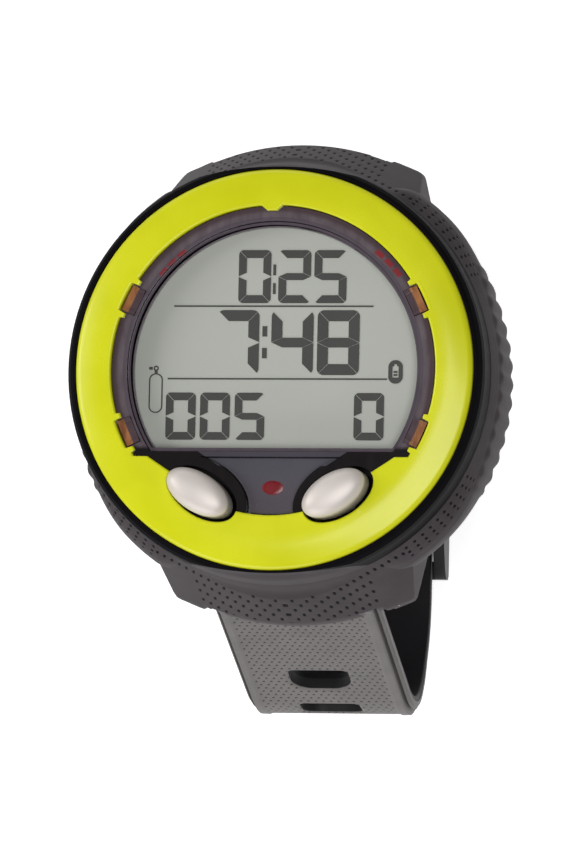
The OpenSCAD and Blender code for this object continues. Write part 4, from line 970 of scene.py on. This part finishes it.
def make_floor():
    mesh = bpy.data.meshes.new("floor")
    mesh.from_pydata([(-4, -4, 0), (4, -4, 0), (4, 4, 0), (-4, 4, 0)], [], [(0, 1, 2, 3)])
    floor = bpy.data.objects.new("floor", mesh)
    bpy.context.scene.collection.objects.link(floor)
    made = Finish("floor_white", (0.8, 0.8, 0.8, 1), roughness=0.9)
    path = made.tree.nodes.new("ShaderNodeLightPath")
    seen = Value(made, path.outputs["Is Camera Ray"])
    gloss = Value(made, path.outputs["Is Glossy Ray"]).most(Value(made, path.outputs["Is Transmission Ray"]))
    made.shader.inputs["Emission Strength"].default_value = 0.6
    made.into("Emission Color", made.mix(seen.most(gloss), (0, 0, 0, 1), (1, 1, 1, 1)))
    mesh.materials.append(made.material)


AIM = Vector((0, 0, FACE_Z * MM * 0.6))          # a little below the face


def make_light(name, place, size, power):
    """Area lamp aimed at the face."""
    lamp = bpy.data.lights.new(name, "AREA")
    lamp.shape, lamp.size, lamp.size_y, lamp.energy = "RECTANGLE", size[0], size[1], power
    thing = bpy.data.objects.new(name, lamp)
    bpy.context.scene.collection.objects.link(thing)
    thing.location = place
    thing.rotation_euler = (AIM - Vector(place)).to_track_quat("-Z", "Y").to_euler()
    return thing


def make_camera():
    """Camera worked out from the photograph: turned 10.014 degrees round the upright, 5.738 degrees up from
    below, rolled -0.218 degrees, 1441.8 mm away."""
    turn, lift, roll, distance = np.radians(10.014), np.radians(5.738), np.radians(-0.218), 1441.8
    shift_x, shift_y, pixels_per_mm, pixels_high = -2.591, 11.163, 5.64, 864
    right = np.array([np.cos(turn), np.sin(lift) * np.sin(turn), -np.sin(turn) * np.cos(lift)])
    up = np.array([0, np.cos(lift), np.sin(lift)])
    back = np.array([np.sin(turn), -np.sin(lift) * np.cos(turn), np.cos(turn) * np.cos(lift)])
    rolled_right = right * np.cos(roll) - up * np.sin(roll)
    rolled_up = right * np.sin(roll) + up * np.cos(roll)
    place = -shift_x * rolled_right - shift_y * rolled_up + distance * back + (0, 0, FACE_Z)
    data = bpy.data.cameras.new("camera")
    data.sensor_width, data.sensor_fit = 36.0, "AUTO"
    data.lens = pixels_per_mm * distance / pixels_high * data.sensor_width
    data.clip_start, data.clip_end = 0.05, 20
    camera = bpy.data.objects.new("camera", data)
    bpy.context.scene.collection.objects.link(camera)
    matrix = np.eye(4)
    matrix[:3, 0], matrix[:3, 1], matrix[:3, 2], matrix[:3, 3] = rolled_right, rolled_up, back, place * MM
    camera.matrix_world = Matrix(matrix.tolist())
    bpy.context.scene.camera = camera


def make_world():
    world = bpy.data.worlds.new("studio")
    world.use_nodes = True
    world.node_tree.nodes["Background"].inputs["Color"].default_value = (1, 1, 1, 1)
    world.node_tree.nodes["Background"].inputs["Strength"].default_value = 0.16
    bpy.context.scene.world = world


make_floor()
make_light("key", (-0.95, 0.12, 0.68), (0.5, 0.6), 5.4)
make_light("fill", (0.27, -0.2, 1.15), (0.6, 0.6), 7.2)
make_light("low", (-0.3, -0.8, 0.4), (0.8, 0.4), 3.2)
make_light("high", (-0.3, 0.85, 0.4), (0.8, 0.4), 1.5)
make_world()
make_camera()
bpy.context.scene.view_settings.view_transform = "Standard"
